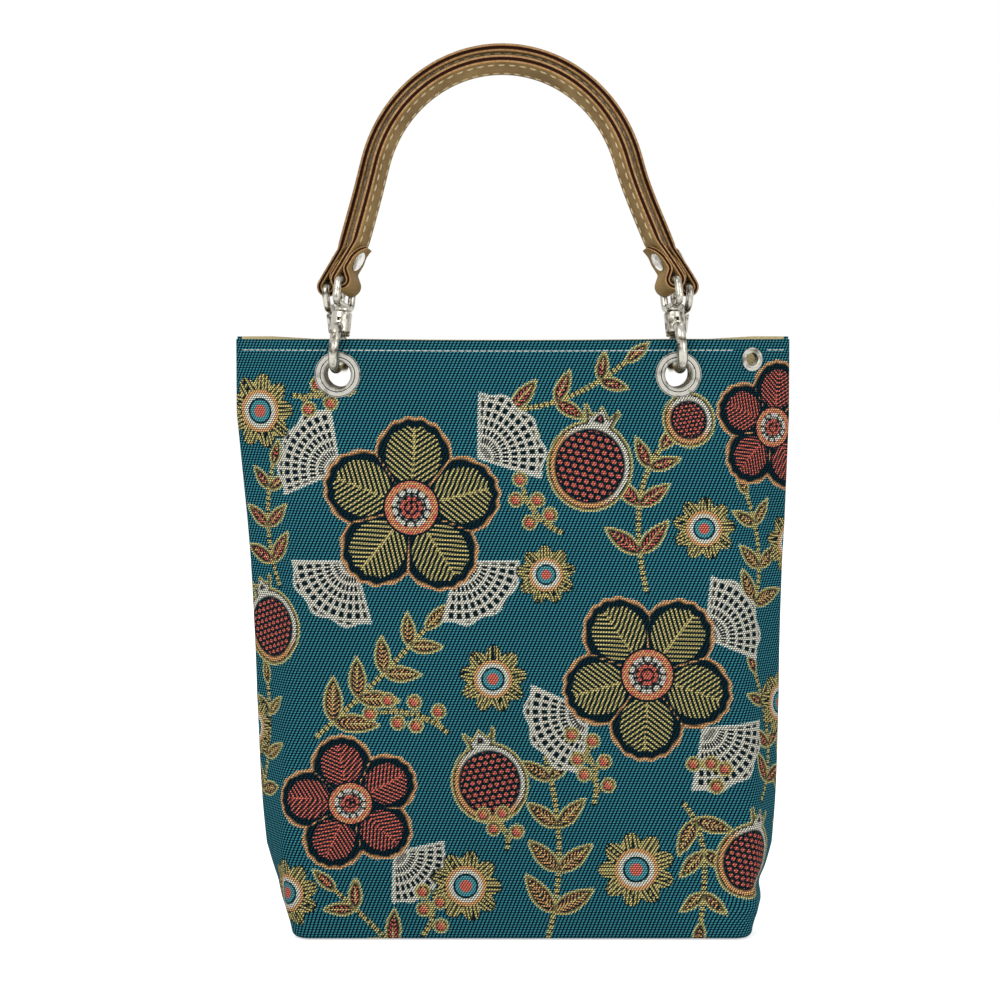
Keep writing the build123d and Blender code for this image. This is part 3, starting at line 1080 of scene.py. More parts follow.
@dataclass(frozen=True)
class CastMetal:
    """Antiqued nickel casting with tarnish in its low spots."""

    name: str
    bright: Colour
    tarnish: Colour
    roughness: float
    cast_scale: float = 420.0
    stain_scale: float = 170.0
    cast_share: float = 0.45
    tarnish_fall: Limits = (0.36, 0.56)
    relief: Relief = (0.28, 0.0003)

    def material(self) -> bpy.types.Material:
        """Make the material on Object coordinates.

        Returns:
            The material.
        """
        material, sheet = new_material(self.name)
        cast = sheet.noise(self.cast_scale)
        stain = sheet.noise(self.stain_scale, 4.0)
        low = (cast * self.cast_share + stain * (1 - self.cast_share)).fall(*self.tarnish_fall)
        sheet.surface(
            {
                "Base Color": sheet.mix(low, self.bright, self.tarnish),
                "Metallic": 1.0,
                "Roughness": self.roughness + low * 0.2,
                "Normal": sheet.bump(cast, *self.relief),
            }
        )
        return material


@dataclass(frozen=True)
class EyeletMetal:
    """Nickel eyelet with dark turned grooves round its hole and painted shade at its outer rim and throat,
    in millimetres.
    """

    bright: Colour = tone(196, 194, 184)
    # Tarnish colour, which also paints the shade at the outer rim and in the throat.
    tarnish: Colour = tone(64, 60, 52)
    middle_x: float = -2.4
    centre_x: float = 81.5
    centre_z: float = 271.7
    inner_groove: float = 8.25
    inner_groove_fall: Limits = (0.12, 0.38)
    outer_groove: float = 10.45
    outer_groove_fall: Limits = (0.08, 0.25)
    # Limits of the painted shade in the throat and at the outer rim, as reach from the eyelet's middle.
    throat: Limits = (6.5, 7.7)
    rim: Limits = (10.0, 11.2)
    stain_scale: float = 240.0
    roughness: float = 0.26
    relief: Relief = (0.5, 0.0003)

    def material(self) -> bpy.types.Material:
        """Make the material on Object coordinates folded onto one eyelet.

        Returns:
            The material.
        """
        material, sheet = new_material("eyelet_nickel")
        x, _, z = sheet.place()
        across, up = abs(x - self.middle_x) - self.centre_x, z - self.centre_z
        reach = (across * across + up * up).root()
        inner = abs(reach - self.inner_groove).fall(*self.inner_groove_fall)
        outer = abs(reach - self.outer_groove).fall(*self.outer_groove_fall)
        groove = inner.most(outer)
        stain = sheet.noise(self.stain_scale, 4.0)
        # Painted shade: darker toward the outer rim and into the throat, so the flat eyelet looks rounded.
        # The dark mix below holds tarnish in the grooves and stains plus this painted shade.
        painted_rim_shade = reach.ramp(*self.rim) * 0.5 + reach.fall(*self.throat) * 0.6
        dark = (groove + painted_rim_shade + stain.fall(0.34, 0.5) * 0.5).least(1.0)
        sheet.surface(
            {
                "Base Color": sheet.mix(dark, self.bright, self.tarnish),
                "Metallic": 1.0,
                "Roughness": self.roughness + dark * 0.2,
                "Normal": sheet.bump(1 - groove, *self.relief),
            }
        )
        return material


@dataclass(frozen=True)
class Board:
    """Grey fibre board that stiffens the base."""

    colour: Colour = tone(120, 112, 98)
    fleck: Colour = tone(92, 84, 70)
    fibre_scale: float = 500.0
    roughness: float = 0.85
    relief: Relief = (0.2, 0.0002)

    def material(self) -> bpy.types.Material:
        """Make the material on Object coordinates.

        Returns:
            The material.
        """
        material, sheet = new_material("fibre_board")
        fibre = sheet.noise(self.fibre_scale, 4.0)
        sheet.surface(
            {
                "Base Color": sheet.mix(fibre.ramp(0.3, 0.7), self.fleck, self.colour),
                "Roughness": self.roughness + fibre * 0.1,
                "Normal": sheet.bump(fibre, *self.relief),
            }
        )
        return material


# Mesh helpers

MERGE = 2e-6


def sheet_mesh(points: np.ndarray, labels: Mapping[str, np.ndarray]) -> bmesh.types.BMesh:
    """Lay a grid over rows of points.

    Args:
        points: Places in metres, rows by columns by three.
        labels: Vertex attributes by name, rows by columns by three.

    Returns:
        The grid, its doubles merged.
    """
    rows, columns = points.shape[:2]
    mesh = bmesh.new()
    bmesh.ops.create_grid(mesh, x_segments=columns - 1, y_segments=rows - 1, size=1.0)
    layers = {name: mesh.verts.layers.float_vector.new(name) for name in labels}
    for vert in mesh.verts:
        column = round((vert.co.x + 1) / 2 * (columns - 1))
        row = round((vert.co.y + 1) / 2 * (rows - 1))
        vert.co = points[row, column]
        for name, layer in layers.items():
            vert[layer] = labels[name][row, column]
    bmesh.ops.remove_doubles(mesh, verts=mesh.verts, dist=MERGE)
    return mesh


def face_outward(mesh: bmesh.types.BMesh, outward: Callable[[Vector], Vector]) -> None:
    """Turn a sheet's faces one way.

    Args:
        mesh: The sheet.
        outward: Direction that a face at a place looks in.
    """
    bmesh.ops.recalc_face_normals(mesh, faces=mesh.faces)
    mesh.normal_update()
    votes = sum(f.normal.dot(outward(f.calc_center_median())) * f.calc_area() for f in mesh.faces)
    if votes < 0:
        bmesh.ops.reverse_faces(mesh, faces=mesh.faces)


def new_piece(
    name: str, mesh: bmesh.types.BMesh, material: bpy.types.Material, smooth: bool = True
) -> bpy.types.Object:
    """Turn a mesh into a piece of the scene.

    Args:
        name: Name of the piece.
        mesh: Its shape, which is freed.
        material: Its material.
        smooth: Whether its faces shade smoothly.

    Returns:
        The piece.
    """
    data = bpy.data.meshes.new(name)
    mesh.to_mesh(data)
    mesh.free()
    data.materials.append(material)
    data.polygons.foreach_set("use_smooth", [smooth] * len(data.polygons))
    piece = bpy.data.objects.new(name, data)
    bpy.context.scene.collection.objects.link(piece)
    return piece


def thicken(piece: bpy.types.Object, thickness: float) -> None:
    """Give a sheet its thickness inward.

    Args:
        piece: The sheet.
        thickness: Thickness in metres.
    """
    modifier = piece.modifiers.new("thickness", "SOLIDIFY")
    modifier.thickness = thickness
    modifier.offset = -1.0
    modifier.use_even_offset = True


@dataclass(frozen=True)
class Sewing:
    """Line of stitches, in millimetres."""

    stitch: float
    pitch: float
    radius: float

    def sew(self, mesh: bmesh.types.BMesh, path: Sequence[Vector], rises: Sequence[Vector]) -> None:
        """Sew a line of stitches along a path.

        Args:
            mesh: Mesh that takes the stitches.
            path: Points along the line, in metres.
            rises: Direction out of the cloth at each point.
        """
        size = Matrix.Diagonal((self.radius * MM, self.stitch / 2 * MM, self.radius * MM, 1))
        lengthwise = Matrix.Rotation(math.pi / 2, 4, "X")
        walked = 0.0
        due = self.pitch * MM / 2
        for start, end, rise in zip(path, path[1:], rises):
            length = (end - start).length
            while length > 0 and due <= walked + length:
                heading = (end - start).normalized()
                across = heading.cross(rise).normalized()
                turn = Matrix((across, heading, across.cross(heading))).transposed().to_4x4()
                spot = Matrix.Translation(start.lerp(end, (due - walked) / length))
                place = spot @ turn @ size @ lengthwise
                bmesh.ops.create_uvsphere(mesh, u_segments=6, v_segments=5, radius=1.0, matrix=place)
                due += self.pitch * MM
            walked += length


# Bag body


@dataclass
class BagBody:
    """Cloth body with a boxed base, its lining, top stitching and eyelet holes, in millimetres."""

    height: float = 288.5
    mouth_width: float = 268.0
    mouth_depth: float = 32.0
    mouth_face_width: float = 204.0
    mouth_band: float = 36.0
    mouth_fold: float = 30.0
    base_width: float = 222.0
    base_depth: float = 48.0
    base_fold: float = 9.0
    base_roll: float = 2.5
    shell: float = 1.3
    lining: float = 0.7
    board: float = 1.5
    board_inset: float = 2.8
    row_step: float = 1.5
    side_steps: int = 15
    fold_steps: int = 10
    face_steps: int = 128
    eyelet_x: float = 81.5
    eyelet_shift: float = -2.4
    eyelet_z: float = 271.7
    eyelet_hole: float = 7.6
    charm_reach: float = 21.5
    charm_drop: float = 9.6
    charm_hole: float = 4.3
    hole_search: float = 4.0
    hole_ring: float = 2.6
    hole_ball: float = 5.0
    stitch_drop: float = 5.2
    stitch_clear: float = 4.2
    stitch_ends: int = 2
    stitch_lift: float = 0.02
    sewing: Sewing = Sewing(3.3, 3.45, 0.22)
    slip: float = 0.05
    lining_step: float = 2.4
    lining_drop: float = 0.3
    lining_drop_from: float = 280.0
    lining_drop_run: float = 6.0
    roll_steps: int = 4
    tight_roll: float = 0.4
    board_lift: float = 0.03
    rim_turn: float = 0.45
    rim_turn_run: float = 4.0
    seam_run: float = 2.4
    seam_foot: float = 3.0
    front_seam_pull: float = 0.3
    back_seam_pull: float = 0.9
    belly: float = 1.6
    slack_half: float = 112.0
    eyelet_still: float = 13.0
    eyelet_fade: float = 26.0
    base_fade: float = 18.0
    mouth_fade: float = 40.0
    ripple: float = 0.55
    ripple_rates: Point2 = (0.047, 0.031)
    crease: float = 0.35
    crease_rates: Point2 = (0.083, -0.027)
    front_phase: float = 0.7
    back_phase: float = 2.4
    mouth_sag: float = 0.5
    mouth_share: float = 0.14
    dip_half: float = 74.0
    back_rise: float = 1.3
    back_rise_from: float = 96.0
    back_rise_run: float = 22.0
    corner_from: float = 92.0
    corner_run: float = 14.0
    pinch: float = 1.2
    pinch_z: float = 25.0
    pinch_spread: float = 4.5
    bulge: float = 1.9
    bulge_z: float = 14.0
    bulge_spread: float = 7.0
    left_corner_share: float = 0.3
    side_bulge: float = 2.7
    side_from: float = 60.0
    side_run: float = 50.0
    side_z: float = 60.0
    side_spread: float = 52.0
    side_foot: float = 14.0
    drift_heights: tuple[float, ...] = (0.0, 22.0, 110.0, 200.0, 255.0)
    drifts: tuple[float, ...] = (4.6, 3.4, 2.6, 1.6, 0.0)
    height_shares: tuple[float, ...] = (0.0, 0.17, 0.46, 0.72, 1.0)
    taper_shares: tuple[float, ...] = (0.0, 0.08, 0.30, 0.62, 1.0)
    spread_shares: tuple[float, ...] = (0.0, 0.45, 0.68, 0.80, 1.0)

    def shares(self, height: float) -> tuple[float, float]:
        """Read how far the section has gone from base to mouth.

        Args:
            height: Height above the base.

        Returns:
            Shares of the taper and of the spread.
        """
        reach = min(1.0, height / (self.height - self.mouth_band))
        taper = float(np.interp(reach, self.height_shares, self.taper_shares))
        spread = float(np.interp(reach, self.height_shares, self.spread_shares))
        return taper, spread

    def outline(self, height: float, inset: float) -> tuple[np.ndarray, np.ndarray]:
        """Trace the front half of the section from the left seam to the right.

        Args:
            height: Height above the base.
            inset: How far inside the outer face.

        Returns:
            Points across and deep, and their distance along from the middle.
        """
        taper, spread = self.shares(height)
        depth = (self.base_depth + (self.mouth_depth - self.base_depth) * taper) / 2
        face = (self.base_width + (self.mouth_face_width - self.base_width) * taper) / 2
        seam = (self.base_width + (self.mouth_width - self.base_width) * spread) / 2
        fold = self.base_fold + (self.mouth_fold - self.base_fold) * taper - inset
        side = math.hypot(seam - face, depth)
        inward_x, inward_y = -depth / side, (seam - face) / side
        at_seam = inset * inward_y / depth
        at_face = (depth - inset + inset * inward_y) / depth
        seam_x = seam + inset * inward_x + at_seam * (face - seam)
        face_x = seam + inset * inward_x + at_face * (face - seam)
        corner, start = Vector((face_x, -(depth - inset))), Vector((seam_x, 0.0))
        way_out = (start - corner).normalized()
        turn = math.acos(max(-1.0, min(1.0, way_out.x)))
        tangent = fold * math.tan(turn / 2)
        centre = corner + Vector((-tangent, fold))
        right = []
        for i in range(self.face_steps // 2 + 1):
            right.append(Vector(((corner.x - tangent) * i / (self.face_steps // 2), corner.y)))
        for i in range(1, self.fold_steps + 1):
            angle = turn * i / self.fold_steps
            right.append(centre + Vector((math.sin(angle), -math.cos(angle))) * fold)
        end = right[-1]
        right += [end.lerp(start, i / self.side_steps) for i in range(1, self.side_steps + 1)]
        steps = [(b - a).length for a, b in zip(right, right[1:])]
        reach = np.concatenate([[0.0], np.cumsum(steps)])
        points = np.array([[p.x, p.y] for p in right])
        left = points[:0:-1] * np.array([-1.0, 1.0])
        return np.concatenate([left, points]), np.concatenate([-reach[:0:-1], reach])

    def level(self, height: float, inset: float) -> tuple[np.ndarray, np.ndarray]:
        """Lay the front half of the section at its height.

        Args:
            height: Height above the base.
            inset: How far inside the outer face.

        Returns:
            Points in millimetres and their flat places on the cloth.
        """
        outline, reach = self.outline(height, inset)
        heights = np.full(len(outline), height)
        return np.column_stack([outline, heights]), np.column_stack([reach, heights])

    def rows(self, floor: float, inset: float, step: float, top: float) -> tuple[np.ndarray, np.ndarray]:
        """Stack sections from the middle of the base to the mouth.

        Args:
            floor: Height of the underside.
            inset: How far inside the outer face.
            step: Spacing of the rows.
            top: Height of the top row.

        Returns:
            Points in millimetres and their flat places on the cloth.
        """
        points, flats = [], []
        roll = self.base_roll - inset if inset < self.base_roll else self.tight_roll
        ground, _ = self.outline(floor, inset + roll)
        under = max(2, round(self.base_depth / 2 / step))
        spine = (self.base_width - self.base_depth) / 2
        middle = np.column_stack([np.clip(ground[:, 0], -spine, spine), np.zeros(len(ground))])
        for i in range(under):
            share = i / under
            spots = middle + (ground - middle) * share
            points.append(np.column_stack([spots, np.full(len(ground), floor)]))
            below = np.full(len(ground), (share - 1) * self.base_depth / 2)
            flats.append(np.column_stack([spots[:, 0], below]))
        stations = []
        for i in range(self.roll_steps + 1):
            angle = math.pi / 2 * i / self.roll_steps
            stations.append((floor + roll * (1 - math.cos(angle)), inset + roll * (1 - math.sin(angle))))
        count = max(2, round((top - floor - roll) / step))
        stations += [(floor + roll + (top - floor - roll) * i / count, inset) for i in range(1, count + 1)]
        for height, place in stations:
            spots, flat = self.level(height, place)
            points.append(spots)
            flats.append(flat)
        return np.array(points), np.array(flats)

    def settle(self, points: np.ndarray, flats: np.ndarray, face: Face) -> np.ndarray:
        """Let the cloth sag: a soft belly, slack ripples, a dipped mouth, uneven sides and a drift.

        Args:
            points: Points of the front half.
            flats: Their flat places.
            face: Which half it becomes.

        Returns:
            The moved points.
        """
        moved = points.copy()
        u, z = flats[..., 0], points[..., 2]
        moved[..., 1] -= self.slack(u, z, face)
        mouth = self.mouth_share * self.height
        edge = np.clip((z - self.height + mouth) / mouth, 0, 1) ** 1.5
        moved[..., 2] -= self.mouth_sag * np.clip(1 - (u / self.dip_half) ** 2, 0, 1) * edge
        if face is Face.BACK:
            ends = np.clip((np.abs(u) - self.back_rise_from) / self.back_rise_run, 0, 1)
            moved[..., 2] += self.back_rise * ends * edge
        moved[..., 0] += np.sign(u) * self.swelling(u, z, face)
        moved[..., 0] += -face.value * np.interp(z, self.drift_heights, self.drifts)
        return moved

    def slack(self, u: np.ndarray, z: np.ndarray, face: Face) -> np.ndarray:
        """Measure how far the face of the cloth stands out.

        Args:
            u: Places across the flat cloth.
            z: Heights.
            face: Which half.

        Returns:
            The belly and the ripples, which fade at the eyelets, base, mouth and sides.
        """
        flat = np.clip(1 - np.abs(u) / self.slack_half, 0, 1) ** 0.8
        still = np.ones_like(u)
        for side in Side:
            middle = face.value * -self.eyelet_shift + side.value * self.eyelet_x
            reach = np.hypot(u - middle, z - self.eyelet_z)
            still *= np.clip((reach - self.eyelet_still) / self.eyelet_fade, 0, 1)
        up = np.clip(z / self.base_fade, 0, 1) * np.clip((self.height - z) / self.mouth_fade, 0, 1)
        phase = self.front_phase if face is Face.FRONT else self.back_phase
        across, rise = self.ripple_rates
        ripple = self.ripple * np.sin(u * across + phase) * np.sin(z * rise + phase * 0.6)
        across, rise = self.crease_rates
        ripple += self.crease * np.sin(u * across + z * rise + phase * 2)
        belly = self.belly * np.sin(math.pi * np.clip(z / self.height, 0, 1) ** 0.8)
        return (belly + ripple) * up * flat * still

    def swelling(self, u: np.ndarray, z: np.ndarray, face: Face) -> np.ndarray:
        """Measure how far the sides and the base corners stand out.

        Args:
            u: Places across the flat cloth.
            z: Heights.
            face: Which half.

        Returns:
            Millimetres away from the middle, below nought where a corner is pinched.
        """

        def hump(middle: float, spread: float) -> np.ndarray:
            """Smooth hump over the height."""
            return np.exp(-(((z - middle) / spread) ** 2))

        corner = np.clip((np.abs(u) - self.corner_from) / self.corner_run, 0, 1)
        strength = np.where(u * -face.value > 0, 1.0, self.left_corner_share)
        bulge = self.bulge * hump(self.bulge_z, self.bulge_spread)
        pinch = self.pinch * hump(self.pinch_z, self.pinch_spread)
        beside = np.clip((np.abs(u) - self.side_from) / self.side_run, 0, 1)
        side = self.side_bulge * hump(self.side_z, self.side_spread) * np.clip(z / self.side_foot, 0, 1)
        return strength * (bulge - pinch) * corner + side * beside

    def outward(self, place: Vector) -> Vector:
        """Direction, about, that the cloth faces at a place."""
        return Vector((place.x, place.y * 4, place.z * 0.2 - 0.02))

    def place_of(self, face: Face) -> np.ndarray:
        """Factors that turn the front half into this half."""
        return np.array([1.0, 1.0, 1.0]) if face is Face.FRONT else np.array([-1.0, -1.0, 1.0])

    def holes(self, face: Face) -> list[tuple[Vector, Vector, float]]:
        """List the eyelet holes of a half.

        Args:
            face: Which half.

        Returns:
            Middle, axis and radius of each hole, in metres.
        """
        y = face.value * self.mouth_depth / 2
        found = [
            (
                Vector((self.eyelet_shift + side.value * self.eyelet_x, y, self.eyelet_z)) * MM,
                Vector((0, 1, 0)),
                self.eyelet_hole * MM,
            )
            for side in Side
        ]
        if face is Face.FRONT:
            run = (self.mouth_width - self.mouth_face_width) / 2
            way = Vector((run, self.mouth_depth / 2, 0)).normalized()
            spot = Vector((self.mouth_width / 2, 0, self.height - self.charm_drop)) - way * self.charm_reach
            found.append((spot * MM, Vector((-way.y, way.x, 0)), self.charm_hole * MM))
        return found

    def punch(self, mesh: bmesh.types.BMesh, face: Face) -> None:
        """Cut the eyelet holes and round their edges.

        Args:
            mesh: Cloth or lining of one half.
            face: Which half.
        """
        for spot, axis, radius in self.holes(face):

            def reach(place: Vector) -> Vector:
                """Offset from the hole's axis."""
                off = place - spot
                return off - axis * off.dot(axis)

            search, ring, ball = (
                radius + clear * MM for clear in (self.hole_search, self.hole_ring, self.hole_ball)
            )
            near = [f for f in mesh.faces if (f.calc_center_median() - spot).length < search]
            gone = [f for f in near if reach(f.calc_center_median()).length < radius]
            bmesh.ops.delete(mesh, geom=gone, context="FACES")
            for edge in mesh.edges:
                if not edge.is_boundary:
                    continue
                for vert in edge.verts:
                    off = reach(vert.co)
                    if 0 < off.length < ring and (vert.co - spot).length < ball:
                        vert.co += off.normalized() * radius - off

    def cloth(self, face: Face, material: bpy.types.Material) -> bpy.types.Object:
        """Make one cloth panel.

        Args:
            face: Which half.
            material: The cloth.

        Returns:
            The panel.
        """
        points, flats = self.rows(0.0, 0.0, self.row_step, self.height)
        moved = self.settle(points, flats, face)
        moved[-1, :, 1] += self.rim_turn * np.clip(-moved[-1, :, 1] / self.rim_turn_run, 0, 1)
        from_seam = flats[..., 0].max(axis=1, keepdims=True) - np.abs(flats[..., 0])
        seam = np.clip(1 - from_seam / self.seam_run, 0, 1)
        pull = self.front_seam_pull if face is Face.FRONT else self.back_seam_pull
        moved[..., 0] -= np.sign(flats[..., 0]) * pull * seam**2 * (points[..., 2] > self.seam_foot)
        labels = {"cloth": np.concatenate([flats, np.zeros_like(flats[..., :1])], axis=2)}
        mesh = sheet_mesh(moved * self.place_of(face) * MM, labels)
        face_outward(mesh, self.outward)
        self.punch(mesh, face)
        name = face.name.lower()
        piece = new_piece(name + "_cloth", mesh, material)
        self.weave(piece)
        thicken(piece, (self.shell - self.slip) * MM)
        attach(piece, "bag")
        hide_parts(name + "_panel")
        return piece

    def weave(self, piece: bpy.types.Object) -> None:
        """Write the woven design onto a panel's points.

        Args:
            piece: The panel, with its flat places in the attribute cloth.
        """
        flat = np.zeros(len(piece.data.vertices) * 3)
        piece.data.attributes["cloth"].data.foreach_get("vector", flat)
        flat = flat.reshape(-1, 3)
        for name, rows in cloth_fields(flat[:, 0], flat[:, 1]).items():
            layer = piece.data.attributes.new(name, "FLOAT_COLOR", "POINT")
            layer.data.foreach_set("color", rows.astype(np.float32).ravel())

    def liner(self, face: Face, material: bpy.types.Material) -> bpy.types.Object:
        """Make one half of the lining.

        Args:
            face: Which half.
            material: The cotton.

        Returns:
            The lining.
        """
        inset = self.shell + self.slip
        points, flats = self.rows(inset + self.board, inset, self.lining_step, self.height)
        moved = self.settle(points, flats, face)
        if face is Face.FRONT:
            top = np.clip((points[..., 2] - self.lining_drop_from) / self.lining_drop_run, 0, 1)
            moved[..., 2] -= self.lining_drop * top
        mesh = sheet_mesh(moved * self.place_of(face) * MM, {})
        face_outward(mesh, self.outward)
        self.punch(mesh, face)
        name = face.name.lower()
        piece = new_piece(name + "_cotton", mesh, material)
        thicken(piece, (self.lining - 2 * self.slip) * MM)
        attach(piece, "bag")
        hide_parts(name + "_lining")
        return piece

    def top_stitching(self, face: Face, material: bpy.types.Material) -> bpy.types.Object:
        """Sew the line of stitches below the mouth.

        Args:
            face: Which half.
            material: The thread.

        Returns:
            The stitches.
        """
        points, flats = self.level(self.height - self.stitch_drop, 0.0)
        line = self.settle(points, flats, face) * self.place_of(face) * MM
        path = [Vector(p) for p in line[self.stitch_ends : -self.stitch_ends]]
        outward = Vector((0, face.value, 0))
        clear = self.stitch_clear * MM
        mesh = bmesh.new()
        runs: list[list[Vector]] = [[]]
        for spot in path:
            blocked = any((spot - hole).length < radius + clear for hole, _, radius in self.holes(face))
            if blocked and runs[-1]:
                runs.append([])
            if not blocked:
                runs[-1].append(spot + outward * self.stitch_lift * MM)
        for run in runs:
            self.sewing.sew(mesh, run, [outward] * len(run))
        piece = new_piece(face.name.lower() + "_top_stitches", mesh, material)
        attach(piece, "bag")
        return piece

    def stiffener(self, material: bpy.types.Material) -> bpy.types.Object:
        """Make the base board, which lies between cloth and lining and drifts with them.

        Args:
            material: The fibre board.

        Returns:
            The board.
        """
        mesh = bmesh.new()
        for height in (self.shell + self.board_lift, self.shell + self.board):
            points, flats = self.level(height, self.board_inset)
            ring = []
            for face in Face:
                line = self.settle(points, flats, face) * self.place_of(face) * MM
                ring += [mesh.verts.new(spot) for spot in line[:-1]]
            for i, vert in enumerate(ring):
                mesh.edges.new((ring[i - 1], vert))
        bmesh.ops.bridge_loops(mesh, edges=mesh.edges[:])
        bmesh.ops.holes_fill(mesh, edges=[e for e in mesh.edges if e.is_boundary], sides=0)
        bmesh.ops.recalc_face_normals(mesh, faces=mesh.faces)
        piece = new_piece("base_stiffener", mesh, material, smooth=False)
        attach(piece, "bag")
        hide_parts("base_board")
        return piece

    def build(self) -> list[bpy.types.Object]:
        """Make and dress the whole body.

        Returns:
            Its pieces.
        """
        jacquard, cotton = Jacquard().material(), LiningCloth().material()
        thread = Thread("white_thread", tone(246, 243, 232), tone(206, 202, 188)).material()
        pieces = [self.stiffener(Board().material())]
        for face in Face:
            pieces.append(self.cloth(face, jacquard))
            pieces.append(self.liner(face, cotton))
            pieces.append(self.top_stitching(face, thread))
        return pieces


# Handles


def smooth(share: float) -> float:
    """Smooth step from nought to one."""
    kept = min(1.0, max(0.0, share))
    return kept * kept * (3 - 2 * kept)


@dataclass
class Handle:
    """Two-ply leather strap that folds round a ring at each end, in millimetres."""

    face: Face
    crown_rise: float
    width: float = 15.0
    ply: float = 1.3
    splay: float = 14.0
    foot_splay: float = 30.0
    foot_length: float = 19.2
    foot_bend: float = 14.0
    flare: float = 16.0
    ring_bar: float = 1.8
    fold_gap: float = 0.6
    flap_gap: float = 0.1
    bend: float = 3.0
    pinch_start: float = 1.6
    pinch_end: float = 5.7
    flap_length: float = 19.5
    fold_share: float = 0.98
    ring_bar_height: float = 33.1
    eyelet_spacing: float = 163.0
    shift: float = -2.4
    pivot_height: float = 283.3
    wall_middle: float = 15.0
    lean: float = 3.0
    hook_lean: float = 12.0
    tilt: float = 6.5
    edge_round: float = 0.3
    edge_steps: int = 3
    groove_share: float = 0.3
    groove_slip: float = 0.01
    swell: float = 0.5
    swell_from_row: int = 47
    swell_rows: int = 12
    draw_in: float = 0.06
    draw_over: float = 2.8
    draw_from: float = 1.0
    draw_rise: float = 60.0
    tip_lift: float = 1.8
    tip_lift_rows: float = 4.5
    tip_rows: int = 6
    tip_share: float = 0.3
    tip_power: float = 0.75
    stitch_inset: float = 2.7
    stitch_from_row: int = 50
    sewing: Sewing = Sewing(3.6, 5.1, 0.58)
    flat_shares: tuple[float, ...] = (-1.0, -0.6, -0.2, 0.2, 0.6, 1.0)
    end_bend_steps: tuple[int, ...] = (4, 4, 8, 8, 8)
    end_run_steps: tuple[int, ...] = (10, 2, 2, 1, 8, 14)
    arch_steps: int = 64

    @property
    def fold_radius(self) -> float:
        """Radius of the glued middle where the strap folds round the ring."""
        return self.ring_bar + self.fold_gap + self.ply

    @property
    def span(self) -> float:
        """Depth that the flared strap takes."""
        return self.width * math.cos(math.radians(self.flare))

    @property
    def slant(self) -> Matrix:
        """Turn from the strap's plane to the rings, which lean further inward."""
        return Matrix.Rotation(math.radians(self.face.value * (self.hook_lean - self.lean)), 3, "X")

    def bar_at(self, y: float) -> Vector:
        """Find the left ring's top bar in a plane across the handle.

        Args:
            y: Depth of the plane.

        Returns:
            Place across and up.
        """
        stance = self.slant @ Matrix.Rotation(-math.radians(self.face.value * self.tilt), 3, "Y")
        middle = stance @ Vector((0, 0, self.ring_bar_height))
        run = stance @ Matrix.Rotation(-math.radians(self.flare), 3, "Z") @ Vector((0, 1, 0))
        return Vector((middle.x - self.eyelet_spacing / 2, middle.z)) + Vector((run.x, run.z)) * (y / run.y)

    def corners(self, bar: Vector, inset: float) -> tuple[list[Vector], Vector]:
        """Corners of the left strap end and the meeting point of the legs.

        Args:
            bar: Middle of the ring's bar.
            inset: How far toward the ring from the glued middle.

        Returns:
            The corners and the meeting point.
        """
        foot, splay = math.radians(self.foot_splay), math.radians(self.splay)
        along = Vector((math.sin(foot), math.cos(foot)))
        inward = Vector((math.cos(foot), -math.sin(foot)))
        leg = Vector((math.sin(splay), math.cos(splay)))
        fold = self.fold_radius - inset
        flap = self.ply * 2 + self.flap_gap - self.fold_radius
        pinch = math.atan2(self.fold_radius - flap, self.pinch_end - self.pinch_start)
        shift = inset * math.tan(pinch / 2)
        local = [
            (flap - inset, self.flap_length),
            (flap - inset, self.pinch_end - shift),
            (fold, self.pinch_start - shift),
            (fold, -self.fold_radius + inset),
            (-fold, -self.fold_radius + inset),
            (-fold, self.foot_length + inset * math.tan((foot - splay) / 2)),
        ]
        points = [bar + inward * across + along * up for across, up in local]
        apex = points[-1] + leg * (-points[-1].x / leg.x)
        return points, apex

    def line(self, y: float, inset: float) -> list[Vector]:
        """Trace the strap in one plane from flap to flap.

        Args:
            y: Depth of the plane.
            inset: How far toward the ring from the glued middle.

        Returns:
            Points across and up, as many for every plane and inset.
        """
        bar = self.bar_at(y)
        drop = self.width * math.sin(math.radians(self.flare))
        crown = self.ring_bar_height + self.crown_rise - y / self.span * drop
        points, apex = self.corners(bar, inset)
        middle_apex = self.corners(bar, 0.0)[1]
        arch = (middle_apex.y - crown) / (1 / math.sin(math.radians(self.splay)) - 1) - inset
        turn = self.fold_radius * self.fold_share - inset
        rounds = [self.bend + inset, self.bend - inset, turn, turn, self.foot_bend + inset]
        mirrored = [Vector((-p.x, p.y)) for p in reversed(points)]
        chain = [*points, apex, *mirrored]
        radii = [*rounds, arch, *reversed(rounds)]
        counts = [*self.end_bend_steps, self.arch_steps, *reversed(self.end_bend_steps)]
        runs = [*self.end_run_steps, *reversed(self.end_run_steps)]
        traced = [chain[0]]
        for i, (radius, count) in enumerate(zip(radii, counts)):
            arc = self.rounded(chain[i], chain[i + 1], chain[i + 2], radius, count)
            traced += [traced[-1].lerp(arc[0], k / runs[i]) for k in range(1, runs[i])]
            traced += arc
        traced += [traced[-1].lerp(chain[-1], k / runs[-1]) for k in range(1, runs[-1] + 1)]
        foot = math.radians(self.foot_splay)
        for row in range(math.ceil(self.tip_lift_rows)):
            lift = self.tip_lift * (1 - row / self.tip_lift_rows) ** 2
            traced[row] += Vector((math.cos(foot), -math.sin(foot))) * lift
            traced[-1 - row] += Vector((-math.cos(foot), -math.sin(foot))) * lift
        return traced

